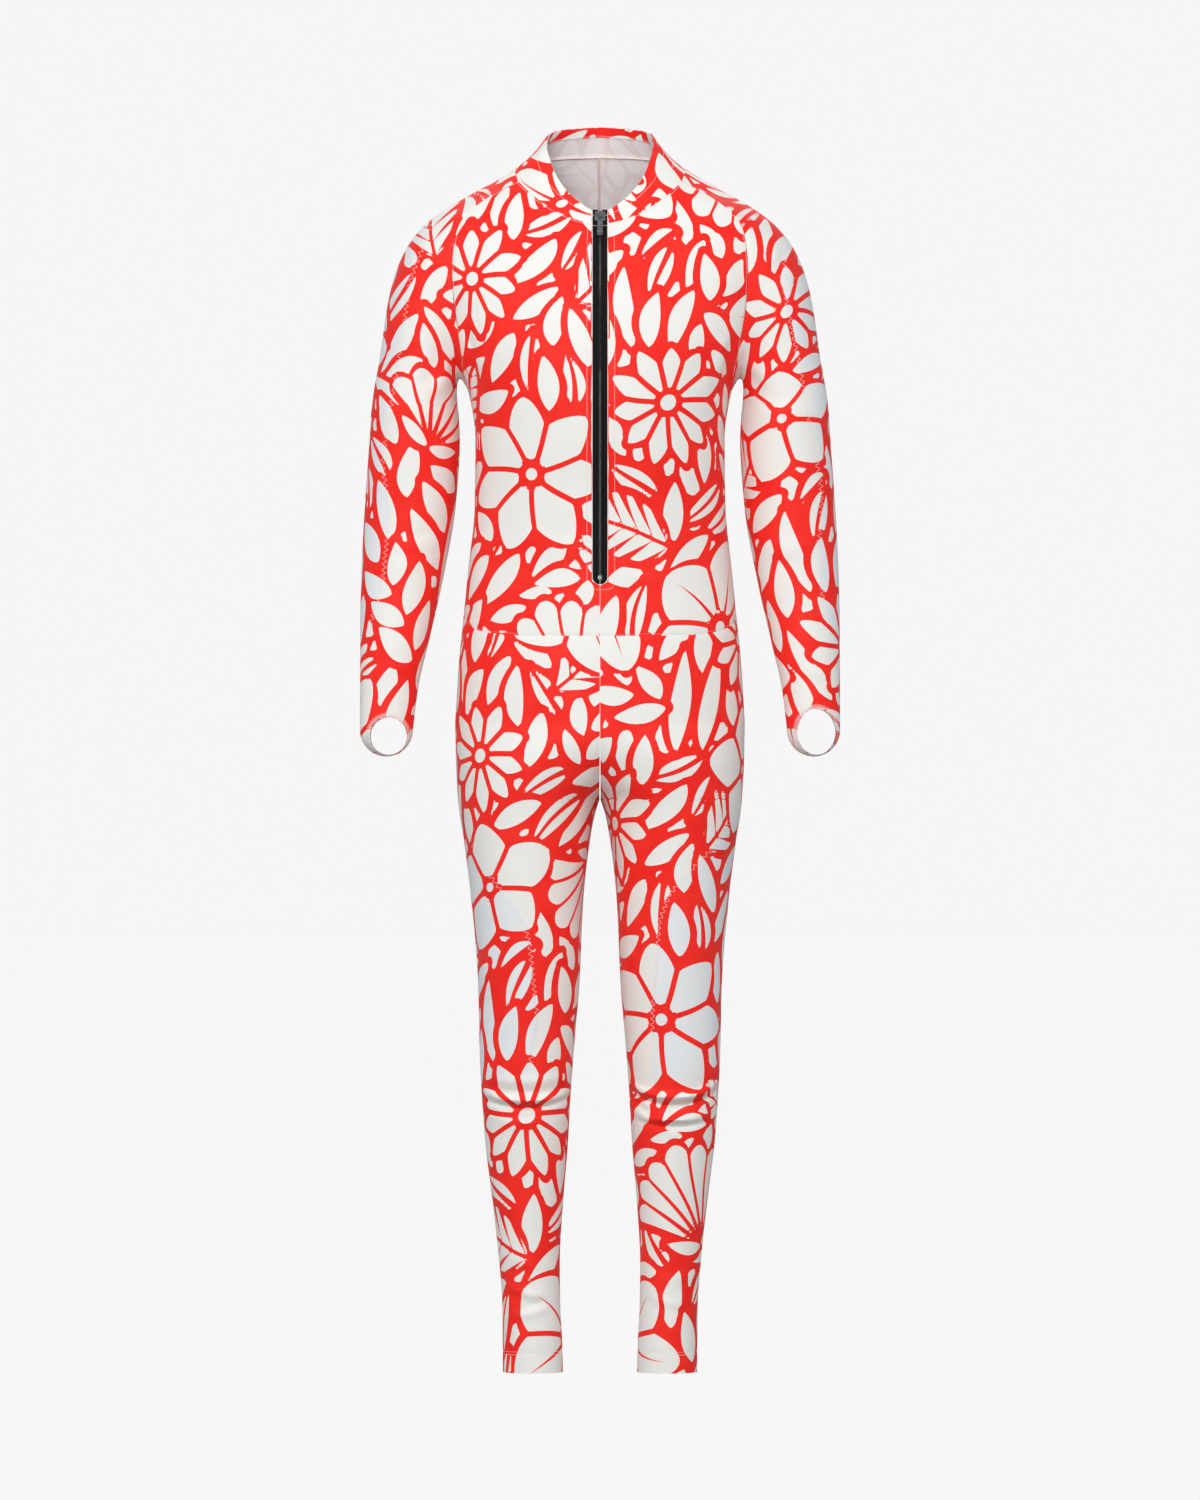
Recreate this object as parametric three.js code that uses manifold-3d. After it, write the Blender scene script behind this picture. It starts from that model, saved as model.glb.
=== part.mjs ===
// A one-piece ski race suit, filled out as if worn: a close-fitting stretch suit with raglan sleeves
// that end in hand loops, a stand-up collar, a short front zip and full-length legs.
// Every panel is a thin curved wall cut and sewn as on the real garment.
// Millimetres, +Z up, the front faces -Y and the wearer's left is +X.
// Heights in the tables are above the ankle hem. The exported group is lowered so that its
// origin lies between the shoulders, where the wearer carries the suit.
import * as THREE from "three";
import { mergeVertices } from "three/addons/utils/BufferGeometryUtils.js";
import Module from "manifold-3d";

const wasm = await Module();
wasm.setup();

// ---------- driving sizes ----------
const CLOTH = 1.5; // thickness of the laminated stretch cloth
const SEAM_GAP = 0.3; // left open between two panels that are sewn together
const EDGE = SEAM_GAP / 2 + 0.05; // x of the panel edges along the centre front and centre back
const SHOULDER_HEIGHT = 1434; // where the wearer's shoulders carry the suit
const ACROSS = 7; // strips from a centre seam to a side seam
const BELOW_ARM = 8; // strips from the waist seam up to the underarm
const ABOVE_ARM = 7; // strips from the underarm up along the raglan seam
const NECK_STRIPS = 3; // strips across the sleeve's short edge at the collar

const PRINT_RED = 0xf2332b;
const ZIP_BLACK = 0x16161a;
const SLIDER_GREY = 0x8f9498;

// ---------- tables, one row for each section ----------
// The trunk: half width, the front and back at the centre line, the depth of the widest point,
// and how square the section is (2 is an ellipse).
const TRUNK = [
  { height: 778, half: 174, front: -107, back: 127, middle: 8, square: 2.25 },
  { height: 850, half: 169.5, front: -105, back: 115, middle: 6, square: 2.3 },
  { height: 900, half: 164.5, front: -101, back: 103, middle: 4, square: 2.3 },
  { height: 960, half: 158.5, front: -99, back: 95, middle: 2, square: 2.3 },
  { height: 1040, half: 150.5, front: -105, back: 92, middle: 0, square: 2.35 },
  { height: 1118, half: 149.5, front: -117, back: 99, middle: 0, square: 2.4 },
  { height: 1172, half: 157, front: -122, back: 108, middle: 2, square: 2.4 },
  { height: 1220, half: 176, front: -121, back: 114, middle: 4, square: 2.4 },
  { height: 1280, half: 196, front: -112, back: 117, middle: 6, square: 2.3 },
  { height: 1330, half: 214, front: -95, back: 114, middle: 8, square: 2.2 },
  { height: 1373, half: 226, front: -74, back: 104, middle: 10, square: 2.1 },
  { height: 1396, half: 209, front: -60, back: 94, middle: 12, square: 2.0 },
  { height: 1415, half: 158, front: -48, back: 86, middle: 14, square: 2.0 },
  { height: 1429, half: 125, front: -38, back: 80, middle: 16, square: 2.0 },
  { height: 1445, half: 102, front: -26, back: 73, middle: 18, square: 2.0 },
  { height: 1463, half: 90, front: -14, back: 66, middle: 20, square: 2.0 },
];
// One leg of the pants, from the hip to the ankle. A negative inner side lies past the centre line,
// where the two halves are sewn together.
const LEG = [
  { height: 778, outer: 174, inner: -174, front: -107, back: 127, middle: 8, square: 2.25 },
  { height: 755, outer: 173.5, inner: -104, front: -106, back: 126, middle: 9, square: 2.2 },
  { height: 730, outer: 173, inner: -53, front: -104, back: 122, middle: 10, square: 2.15 },
  { height: 708, outer: 172, inner: -21, front: -100, back: 115, middle: 11, square: 2.1 },
  { height: 694, outer: 171, inner: -5, front: -97, back: 110, middle: 11, square: 2.1 },
  { height: 686, outer: 170.5, inner: 0.5, front: -95, back: 106, middle: 11, square: 2.1 },
  { height: 637, outer: 163, inner: 12, front: -89, back: 92, middle: 6, square: 2.1 },
  { height: 564, outer: 154, inner: 20, front: -83, back: 79, middle: 2, square: 2.1 },
  { height: 466, outer: 146, inner: 24.5, front: -74, back: 66, middle: -2, square: 2.1 },
  { height: 400, outer: 144.5, inner: 30, front: -67, back: 57, middle: -4, square: 2.1 },
  { height: 362, outer: 143.5, inner: 33, front: -64, back: 53, middle: -5, square: 2.1 },
  { height: 325, outer: 141.5, inner: 35.5, front: -58, back: 56, middle: -2, square: 2.05 },
  { height: 277, outer: 138, inner: 38, front: -52, back: 62, middle: 3, square: 2.0 },
  { height: 204, outer: 129, inner: 44, front: -45, back: 58, middle: 4, square: 2.0 },
  { height: 130, outer: 121, inner: 48, front: -40, back: 46, middle: 2, square: 2.0 },
  { height: 82, outer: 117.5, inner: 47.5, front: -39, back: 41, middle: 1, square: 2.0 },
  { height: 32, outer: 117, inner: 45, front: -39, back: 39, middle: 0, square: 2.0 },
  { height: 0, outer: 116.5, inner: 44.5, front: -39, back: 39, middle: 0, square: 2.0 },
];
// The heights of the leg panels' rows, from the waist seam down.
const LEG_ROWS = [900, 850, 806, 778, 755, 730, 708, 694, 686, 637, 564, 490, 420, 385, 368, 356, 344, 330,
  316, 303, 285, 204, 130, 64, 0];
// The rolled folds under the knees: height at the leg's sides, how far they sag at the middle, how far
// they stand out, half their spread along the leg, and how short they are (0 is the panel's width).
const KNEE = { height: 345, window: 55 };
const KNEE_FOLDS = {
  right: { sag: 17, folds: [{ height: 344, rise: 4.5, spread: 7, short: 0 }] },
  left: {
    sag: 26,
    folds: [
      { height: 356, rise: 5, spread: 7, short: 0 },
      { height: 318, rise: 3, spread: 6, short: 3 },
    ],
  },
};
// The front and back raglan seams in the front view, from the underarm to the collar.
const RAGLAN_FRONT = [
  { side: 156, height: 1172 },
  { side: 163, height: 1200 },
  { side: 169, height: 1240 },
  { side: 175, height: 1280 },
  { side: 177, height: 1320 },
  { side: 174, height: 1356 },
  { side: 165, height: 1381 },
  { side: 148, height: 1398 },
  { side: 123, height: 1415 },
  { side: 98, height: 1428 },
];
const RAGLAN_BACK = [
  { side: 156, height: 1172 },
  { side: 161, height: 1200 },
  { side: 163, height: 1240 },
  { side: 163, height: 1285 },
  { side: 159, height: 1325 },
  { side: 150, height: 1362 },
  { side: 134, height: 1396 },
  { side: 112, height: 1425 },
  { side: 84, height: 1453 },
];
// Sections of the shoulder, in planes that fan about a pivot just under the armpit: the plane's angle
// above level, its reach from the pivot, and the section's middle, front and back depths.
const ARMPIT = { side: 158, height: 1160, radius: 12 };
const SHOULDER = [
  { angle: 0, reach: 116, middle: 8, front: 59, back: 61 },
  { angle: 23, reach: 120.5, middle: 9, front: 60, back: 62 },
  { angle: 40, reach: 137, middle: 10, front: 61, back: 63 },
  { angle: 52, reach: 164, middle: 11, front: 63, back: 65 },
  { angle: 60, reach: 190, middle: 12, front: 65, back: 67 },
  { angle: 67, reach: 221, middle: 13, front: 66, back: 69 },
  { angle: 73, reach: 236, middle: 14, front: 67, back: 71 },
  { angle: 78, reach: 241.5, middle: 15, front: 68, back: 72 },
  { angle: 85, reach: 248, middle: 16, front: 69, back: 74 },
  { angle: 91, reach: 255, middle: 17, front: 70, back: 75 },
  { angle: 98, reach: 271.5, middle: 17, front: 70, back: 75 },
  { angle: 105, reach: 310, middle: 18, front: 70, back: 75 },
];
const FAN_ROWS = 9; // strips of the sleeve above the underarm
// The arm below the armpit, down to the top of the hand loop.
const ARM = [
  { height: 1160, inner: 170, outer: 274, depth: 60, middle: 8 },
  { height: 1118, inner: 168, outer: 276.5, depth: 59, middle: 9 },
  { height: 1039, inner: 173, outer: 282, depth: 56, middle: 8 },
  { height: 959, inner: 186.5, outer: 286, depth: 50, middle: 2 },
  { height: 880, inner: 204, outer: 287.5, depth: 43, middle: -8 },
  { height: 820, inner: 217.5, outer: 287.5, depth: 36, middle: -18 },
  { height: 770, inner: 223.5, outer: 287.5, depth: 30, middle: -27 },
];
const ARM_ROWS = [1118, 1060, 1000, 940, 880, 825, 770];
const LOOP_ROWS = 4; // strips of the rounded end of the sleeve
// The hole in each hand loop, half its width and half its height, and the cloth left under it.
const HAND_HOLE = {
  right: { half: 22, rise: 22.5, outward: -2.5 },
  left: { half: 23, rise: 27.5, outward: 3.5 },
};
const LOOP_BAND = 2.2;
// The collar's top edge against its seam, and how far the band is hollowed between them.
const COLLAR = [
  { station: 0, x: 0.2, y: -66, height: 1386, hollow: 0 },
  { station: 0.06, x: 11, y: -65, height: 1391, hollow: 0 },
  { station: 0.16, x: 28, y: -59, height: 1403, hollow: 0.3 },
  { station: 0.3, x: 44, y: -46, height: 1420, hollow: 1 },
  { station: 0.42, x: 57, y: -26, height: 1444, hollow: 2.5 },
  { station: 0.5, x: 65, y: 2, height: 1474, hollow: 4 },
  { station: 0.58, x: 63, y: 26, height: 1486, hollow: 4 },
  { station: 0.74, x: 45, y: 46, height: 1493, hollow: 2 },
  { station: 1, x: 0, y: 57, height: 1497, hollow: 1 },
];
const COLLAR_ROWS = [0, 0.35, 0.7, 1]; // the top strip is the depth of the turned-in edge
// The waist seam: its height at the centre front, the side and the centre back.
const WAIST = { front: 882, side: 912, back: 918, dip: 3.5 };
const NECK_FRONT = 1373;
const NECK_BACK = 1461;
const STOP = { height: 951.5, size: 5 };
const SLIDER = { height: 1381, wide: 13, long: 14, thick: 2, pivot: -0.4 };
const ARCH = { wide: 1.8, long: 8.4, out: 3.6, bar: 1 };
const PULL = { wide: 7, long: 29, thick: 1.4, bar: 0.75, clear: 0.45, eye: 3.4, eyeLong: 5.4 };
const ZIP = { half: 9, bottom: 943, top: 1391, depth: -95, tape: 0.9, coilHalf: 2.8, coilHeight: 1.6 };

// ---------- small tools ----------
const lerp = (a, b, t) => a + (b - a) * t;
const clamp01 = (t) => Math.min(1, Math.max(0, t));
const smooth = (t) => clamp01(t) * clamp01(t) * (3 - 2 * clamp01(t));
const radians = (degrees) => (degrees * Math.PI) / 180;

// Reads a table smoothly: a monotone cubic through each column, against the column named key.
function reader(table, key) {
  const rows = [...table].sort((a, b) => a[key] - b[key]);
  const at = rows.map((r) => r[key]);
  const names = Object.keys(rows[0]).filter((n) => n !== key);
  const columns = {};
  for (const name of names) {
    const value = rows.map((r) => r[name]);
    const slope = at.slice(1).map((x, k) => (value[k + 1] - value[k]) / (x - at[k]));
    const tangent = at.map((_, k) => {
      if (k === 0) return slope[0];
      if (k === at.length - 1) return slope[k - 1];
      if (slope[k - 1] * slope[k] <= 0) return 0;
      const before = at[k] - at[k - 1];
      const after = at[k + 1] - at[k];
      const w1 = 2 * after + before;
      const w2 = after + 2 * before;
      return (w1 + w2) / (w1 / slope[k - 1] + w2 / slope[k]);
    });
    columns[name] = { value, tangent };
  }
  return (x) => {
    const p = Math.min(at[at.length - 1], Math.max(at[0], x));
    let k = 0;
    while (k < at.length - 2 && p > at[k + 1]) k += 1;
    const h = at[k + 1] - at[k];
    const t = (p - at[k]) / h;
    const made = {};
    for (const name of names) {
      const { value, tangent } = columns[name];
      made[name] =
        (2 * t ** 3 - 3 * t ** 2 + 1) * value[k] +
        (t ** 3 - 2 * t ** 2 + t) * h * tangent[k] +
        (-2 * t ** 3 + 3 * t ** 2) * value[k + 1] +
        (t ** 3 - t ** 2) * h * tangent[k + 1];
    }
    return made;
  };
}

const trunkAt = reader(TRUNK, "height");
const legAt = reader(LEG, "height");
const shoulderAt = reader(SHOULDER, "angle");
const armAt = reader(ARM, "height");
const collarAt = reader(COLLAR, "station");

// A share of a line of points, measured along it.
function alongLine(points, share) {
  const lengths = [0];
  for (let k = 1; k < points.length; k += 1) {
    const step = Math.hypot(points[k].side - points[k - 1].side, points[k].height - points[k - 1].height);
    lengths.push(lengths[k - 1] + step);
  }
  const table = points.map((p, k) => ({ length: lengths[k], side: p.side, height: p.height }));
  return reader(table, "length")(share * lengths[lengths.length - 1]);
}

// A rounded section, from the middle of its front or back (0) to its side (1).
const sectionSide = (turn, square) => Math.sin(turn) ** (2 / square);
const sectionDepth = (turn, square) => Math.max(0, Math.cos(turn)) ** (2 / square);

// ---------- the trunk ----------
// A point on the trunk at a height: turn 0 is the centre front or back, a quarter turn is the side.
function trunkPoint(height, turn, face) {
  const s = trunkAt(height);
  const centre = face === "front" ? s.front : s.back;
  return new THREE.Vector3(
    s.half * sectionSide(turn, s.square),
    s.middle + (centre - s.middle) * sectionDepth(turn, s.square),
    height,
  );
}
const turnAtSide = (height, side) => {
  const s = trunkAt(height);
  return Math.asin(clamp01(side / s.half) ** (s.square / 2));
};

// Rows of a bodice panel, from the waist seam up to the collar seam, each from the centre outwards.
function bodiceRows(face) {
  const front = face === "front";
  const seam = front ? RAGLAN_FRONT : RAGLAN_BACK;
  const underarm = seam[0];
  const neck = front ? NECK_FRONT : NECK_BACK;
  const waist = front ? WAIST.front : WAIST.back;
  const rows = [];
  for (let j = 0; j <= BELOW_ARM + ABOVE_ARM; j += 1) {
    const below = j <= BELOW_ARM;
    const t = j / (BELOW_ARM + ABOVE_ARM);
    const rise = below ? (j / BELOW_ARM) * 0.565 : lerp(0.565, 1, (j - BELOW_ARM) / ABOVE_ARM);
    const centreHeight = lerp(waist, neck, rise);
    let edge;
    if (below) edge = { side: null, height: lerp(WAIST.side, underarm.height, j / BELOW_ARM) };
    else edge = alongLine(seam, (j - BELOW_ARM) / ABOVE_ARM);
    const edgeTurn = edge.side === null || j === BELOW_ARM ? Math.PI / 2 : turnAtSide(edge.height, edge.side);
    const bend = front ? lerp(WAIST.dip, 1.6, t) : lerp(2, 2.2, t);
    const square = trunkAt(edge.height).square;
    const row = [];
    for (let i = 0; i <= ACROSS; i += 1) {
      const share = i / ACROSS;
      const height = lerp(centreHeight, edge.height, share ** bend);
      let turn = lerp(turnAtSide(height, EDGE), edgeTurn, share);
      if (!below) {
        const side = edge.side * (sectionSide(share * edgeTurn, square) / sectionSide(edgeTurn, square));
        turn = turnAtSide(height, Math.max(EDGE, side));
      }
      row.push(trunkPoint(height, turn, face));
    }
    rows.push(row);
  }
  return rows;
}

// ---------- the legs ----------
function waistHeight(share, face) {
  if (face === "front") return WAIST.front + (WAIST.side - WAIST.front) * share ** WAIST.dip;
  return WAIST.back + (WAIST.side - WAIST.back) * share ** 2;
}

// A point on the left leg: share 0 is the centre seam or the inseam, and 1 is the side seam.
function legPoint(rowHeight, share, face, knee) {
  const hang = Math.sin(Math.PI * share);
  const near = Math.exp(-(((rowHeight - KNEE.height) / KNEE.window) ** 2));
  const height = face === "front" ? rowHeight - knee.sag * hang * near : rowHeight;
  const hip = LEG[0].height;
  let s;
  if (height > hip) {
    const trunk = trunkAt(height);
    s = { ...trunk, outer: trunk.half, inner: -trunk.half };
  } else {
    s = legAt(height);
  }
  const centre = (s.outer + s.inner) / 2;
  const half = (s.outer - s.inner) / 2;
  const edge = s.inner < EDGE ? (EDGE - centre) / half : -1;
  const start = Math.PI / 2 + Math.asin(Math.min(1, Math.abs(edge)) ** (s.square / 2)) * (edge < 0 ? 1 : -1);
  const turn = lerp(start, 0, share);
  const away = Math.cos(turn);
  const x = centre + half * Math.sign(away) * Math.abs(away) ** (2 / s.square);
  const depth = Math.max(0, Math.sin(turn)) ** (2 / s.square);
  let reach = (face === "front" ? s.front : s.back) - s.middle;
  if (face === "front") {
    for (const fold of knee.folds) {
      const off = (rowHeight - fold.height) / fold.spread;
      reach -= fold.rise * Math.exp(-off * off) * hang ** fold.short;
    }
  }
  return new THREE.Vector3(x, s.middle + reach * depth, height);
}

// Rows of a leg panel from the ankle up to the waist seam, each from the inside to the side seam.
function legRows(face, side) {
  const top = LEG_ROWS[0];
  const level = LEG_ROWS[3]; // the rows are level from the hip down
  const rows = LEG_ROWS.map((rowHeight) => {
    const row = [];
    for (let i = 0; i <= ACROSS; i += 1) {
      const share = i / ACROSS;
      const follow = clamp01((rowHeight - level) / (top - level));
      const height = rowHeight + (waistHeight(share, face) - top) * follow;
      row.push(legPoint(height, share, face, KNEE_FOLDS[side]));
    }
    return row;
  });
  return rows.reverse();
}

// ---------- the sleeves ----------
function fanPoint(angle, around) {
  const s = shoulderAt(angle);
  const half = (s.reach - ARMPIT.radius) / 2;
  const reach = ARMPIT.radius + half * (1 + Math.cos(around));
  const depth = around > 0 ? s.front : s.back;
  return new THREE.Vector3(
    ARMPIT.side + reach * Math.cos(radians(angle)),
    s.middle - depth * Math.sin(around),
    ARMPIT.height + reach * Math.sin(radians(angle)),
  );
}

function armPoint(height, around) {
  const s = armAt(height);
  const centre = (s.inner + s.outer) / 2;
  const half = (s.outer - s.inner) / 2;
  return new THREE.Vector3(centre + half * Math.cos(around), s.middle - s.depth * Math.sin(around), height);
}

// Where the sleeve starts, all round: up the front raglan seam, across the collar, down the back one.
// Each point knows its place round the fan there and round the arm further down: half a turn at the
// underarm, 0 on top of the shoulder, positive at the front.
function sleeveStart(frontRows, backRows) {
  const place = (at, sign) => {
    const out = at.x - ARMPIT.side;
    const up = at.z - ARMPIT.height;
    const angle = Math.atan2(up, out) * (180 / Math.PI);
    const half = (shoulderAt(angle).reach - ARMPIT.radius) / 2;
    const share = (Math.hypot(out, up) - ARMPIT.radius) / half - 1;
    return { at, angle, around: sign * Math.acos(Math.min(1, Math.max(-1, share))) };
  };
  const made = [];
  for (let k = 0; k <= ABOVE_ARM; k += 1) made.push(place(frontRows[BELOW_ARM + k][ACROSS].clone(), 1));
  // The strips mustn't cross where the seam runs along the top of the shoulder.
  made[ABOVE_ARM].around = Math.min(made[ABOVE_ARM].around, radians(24));
  for (let k = ABOVE_ARM - 1; k > 0; k -= 1) {
    made[k].around = Math.max(made[k].around, made[k + 1].around + radians(6));
  }
  const from = made[ABOVE_ARM];
  const to = place(backRows[BELOW_ARM + ABOVE_ARM][ACROSS].clone(), -1);
  for (let k = 1; k < NECK_STRIPS; k += 1) {
    const share = k / NECK_STRIPS;
    const at = from.at.clone().lerp(to.at, share);
    const arch = Math.sin(Math.PI * share);
    at.x += 10 * arch;
    at.z += 4 * arch;
    made.push({ ...place(at, 1), around: lerp(from.around, to.around, share) });
  }
  made.push(to);
  for (let k = ABOVE_ARM - 1; k > 0; k -= 1) made.push(place(backRows[BELOW_ARM + k][ACROSS].clone(), -1));
  return made.map((start, k) => ({ ...start, below: Math.PI * (1 - (2 * k) / made.length) }));
}

// Lets the rings settle over the shoulder, between the armhole, which stays, and the upper arm.
const SETTLE = { from: 1150, over: 60, rings: 1.4, share: 0.8, times: 3 };
function settled(rings) {
  let made = rings;
  for (let time = 0; time < SETTLE.times; time += 1) {
    const before = made;
    made = before.map((ring, j) => ring.map((point, i) => {
      if (j === 0 || j === before.length - 1) return point;
      const rise = clamp01((point.z - SETTLE.from) / SETTLE.over);
      const free = SETTLE.share * rise * clamp01(j / SETTLE.rings);
      const middle = before[j - 1][i].clone().add(before[j + 1][i]);
      middle.add(ring[(i + 1) % ring.length]).add(ring[(i + ring.length - 1) % ring.length]);
      return point.clone().lerp(middle.multiplyScalar(0.25), free);
    }));
  }
  return made;
}

// Rings of the sleeve from its rounded end up to the armhole. The underarm seam comes first and last.
function sleeveRings(loop) {
  let rings = [];
  for (let j = 0; j < FAN_ROWS; j += 1) {
    const share = j / FAN_ROWS;
    rings.push(
      loop.map(({ at, angle, around, below }) => {
        const point = fanPoint(angle * (1 - share), lerp(around, below, smooth(share)));
        return point.add(at.clone().sub(fanPoint(angle, around)).multiplyScalar(1 - smooth(share)));
      }),
    );
  }
  rings.push(loop.map(({ below }) => fanPoint(0, below)));
  for (const height of ARM_ROWS) rings.push(loop.map(({ below }) => armPoint(height, below)));
  rings = settled(rings);
  const end = armAt(ARM_ROWS[ARM_ROWS.length - 1]);
  const centre = (end.inner + end.outer) / 2;
  const half = (end.outer - end.inner) / 2;
  const last = ARM_ROWS[ARM_ROWS.length - 1];
  for (let k = 1; k < LOOP_ROWS; k += 1) {
    const dip = (k / LOOP_ROWS) * (Math.PI / 2);
    rings.push(
      loop.map(({ below }) => new THREE.Vector3(
        centre + half * Math.cos(dip) * Math.cos(below),
        end.middle - end.depth * Math.cos(dip) * Math.sin(below),
        last - half * Math.sin(dip),
      )),
    );
  }
  return { rings: rings.reverse(), tip: new THREE.Vector3(centre, end.middle, last - half), half };
}

// ---------- walls ----------
const facing = (rows) => rows.map((row) => [...row].reverse()); // each row read the other way
const mirrored = (rows) => rows.map((row) => row.map((p) => new THREE.Vector3(-p.x, p.y, p.z)));
const reflected = (rows) => facing(mirrored(rows));

// Pulls the edges of a panel back by half the seam gap, along its own surface.
function trimmed(rows, edges) {
  const made = rows.map((row) => row.map((p) => p.clone()));
  const pull = (point, next) => point.add(next.clone().sub(point).normalize().multiplyScalar(SEAM_GAP / 2));
  const last = rows.length - 1;
  const end = rows[0].length - 1;
  if (edges.includes("bottom")) made[0].forEach((p, i) => pull(p, rows[1][i]));
  if (edges.includes("top")) made[last].forEach((p, i) => pull(p, rows[last - 1][i]));
  if (edges.includes("first")) made.forEach((row, j) => pull(row[0], rows[j][1]));
  if (edges.includes("last")) made.forEach((row, j) => pull(row[end], rows[j][end - 1]));
  return made;
}

// The direction of a line of points at one of them, carried on at the line's ends.
function direction(line, k, closed) {
  const count = line.length;
  const at = (index) => line[(index + count) % count];
  const step = (from) => at(from + 1).clone().sub(at(from)).normalize();
  if (closed || (k > 0 && k < count - 1)) return step(k - 1).add(step(k));
  if (k === 0) return step(0).multiplyScalar(3).sub(step(1));
  return step(count - 2).multiplyScalar(3).sub(step(count - 3));
}

// The outward normal at each point of a grid of rows.
function normalsOf(rows, closed) {
  const columns = rows[0].map((_, i) => rows.map((row) => row[i]));
  return rows.map((row, j) =>
    row.map((_, i) => direction(row, i, closed).cross(direction(columns[i], j, false)).normalize()),
  );
}

// A closed wall between two offsets of a grid of rows. A closed grid goes all the way round, and
// tips, if given, are the outer and inner points that shut its first row.
function wall(rows, { closed = false, tips = null, outer = 0, inner = -CLOTH, normals = null } = {}) {
  const out = normals ?? normalsOf(rows, closed);
  const columns = rows[0].length;
  const count = rows.length * columns;
  const vertices = [];
  for (const offset of [outer, inner]) {
    rows.forEach((row, j) => row.forEach((p, i) => {
      vertices.push(p.clone().addScaledVector(out[j][i], offset));
    }));
  }
  const at = (layer, j, i) => layer * count + j * columns + (i % columns);
  const triangles = [];
  const quad = (a, b, c, d) => {
    const across = vertices[a].distanceTo(vertices[c]) <= vertices[b].distanceTo(vertices[d]);
    if (across) triangles.push([a, b, c], [a, c, d]);
    else triangles.push([a, b, d], [b, c, d]);
  };
  const strips = closed ? columns : columns - 1;
  const last = rows.length - 1;
  for (let j = 0; j < last; j += 1) {
    for (let i = 0; i < strips; i += 1) {
      quad(at(0, j, i), at(0, j, i + 1), at(0, j + 1, i + 1), at(0, j + 1, i));
      quad(at(1, j, i), at(1, j + 1, i), at(1, j + 1, i + 1), at(1, j, i + 1));
    }
    if (!closed) {
      quad(at(0, j, 0), at(0, j + 1, 0), at(1, j + 1, 0), at(1, j, 0));
      quad(at(0, j + 1, strips), at(0, j, strips), at(1, j, strips), at(1, j + 1, strips));
    }
  }
  for (let i = 0; i < strips; i += 1) {
    quad(at(0, last, i), at(0, last, i + 1), at(1, last, i + 1), at(1, last, i));
    if (!tips) quad(at(0, 0, i), at(1, 0, i), at(1, 0, i + 1), at(0, 0, i + 1));
  }
  if (tips) {
    vertices.push(...tips);
    const tipOut = vertices.length - 2;
    const tipIn = vertices.length - 1;
    for (let i = 0; i < strips; i += 1) {
      triangles.push([tipOut, at(0, 0, i + 1), at(0, 0, i)], [tipIn, at(1, 0, i), at(1, 0, i + 1)]);
    }
  }
  const geometry = new THREE.BufferGeometry();
  const positions = vertices.flatMap((v) => v.toArray());
  geometry.setAttribute("position", new THREE.Float32BufferAttribute(positions, 3));
  geometry.setIndex(triangles.flat());
  return geometry;
}

// ---------- solids for booleans ----------
function solidFrom(geometry) {
  const bare = geometry.clone();
  for (const name of Object.keys(bare.attributes)) if (name !== "position") bare.deleteAttribute(name);
  const merged = mergeVertices(bare, 1e-4);
  return new wasm.Manifold(new wasm.Mesh({
    numProp: 3,
    vertProperties: new Float32Array(merged.attributes.position.array),
    triVerts: new Uint32Array(merged.index.array),
  }));
}

function geometryFrom(solid) {
  const mesh = solid.getMesh();
  const geometry = new THREE.BufferGeometry();
  geometry.setAttribute("position", new THREE.BufferAttribute(new Float32Array(mesh.vertProperties), 3));
  geometry.setIndex(new THREE.BufferAttribute(new Uint32Array(mesh.triVerts), 1));
  return geometry;
}

// ---------- materials ----------
const cloth = new THREE.MeshStandardMaterial({ color: PRINT_RED, roughness: 0.55, metalness: 0 });
const zipTape = new THREE.MeshStandardMaterial({ color: ZIP_BLACK, roughness: 0.8, metalness: 0 });
const zipCoil = new THREE.MeshStandardMaterial({ color: ZIP_BLACK, roughness: 0.45, metalness: 0 });
const zipMetal = new THREE.MeshStandardMaterial({ color: SLIDER_GREY, roughness: 0.35, metalness: 0.9 });

const suit = new THREE.Group();
suit.position.z = -SHOULDER_HEIGHT;
function add(name, geometry, material) {
  const mesh = new THREE.Mesh(geometry, material);
  mesh.name = name;
  suit.add(mesh);
  return mesh;
}

// An upright slot with a rounded lower end. It is cut through the bodice and the collar for the zip,
// and a slightly smaller one shapes the zip's tapes.
function slot(half) {
  const shaft = new THREE.BoxGeometry(2 * half, 120, 500);
  shaft.translate(0, ZIP.depth, ZIP.bottom + ZIP.half + 250);
  const end = new THREE.CylinderGeometry(half, half, 120, 24);
  end.translate(0, ZIP.depth, ZIP.bottom + ZIP.half);
  return solidFrom(shaft).add(solidFrom(end));
}
const zipSlot = slot(ZIP.half);
const unzipped = (geometry) => geometryFrom(solidFrom(geometry).subtract(zipSlot));
const tapeSlot = slot(ZIP.half - SEAM_GAP);

// ---------- bodice ----------
const frontRows = bodiceRows("front");
const backRows = bodiceRows("back");
const bodiceFront = trimmed(frontRows, ["bottom", "top", "last"]);
// A back row runs from the centre outwards, so its order is turned for its outside to face back.
const bodiceBack = facing(trimmed(backRows, ["bottom", "top", "last"]));
const frontNormals = normalsOf(bodiceFront, false);
const backNormals = normalsOf(bodiceBack, false);

// ---------- sleeves ----------
const loop = sleeveStart(frontRows, backRows);
const { rings, tip, half: loopHalf } = sleeveRings(loop);
const sleeveRows = trimmed(rings, ["top"]);
const sleeveNormals = normalsOf(sleeveRows, true);
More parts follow.
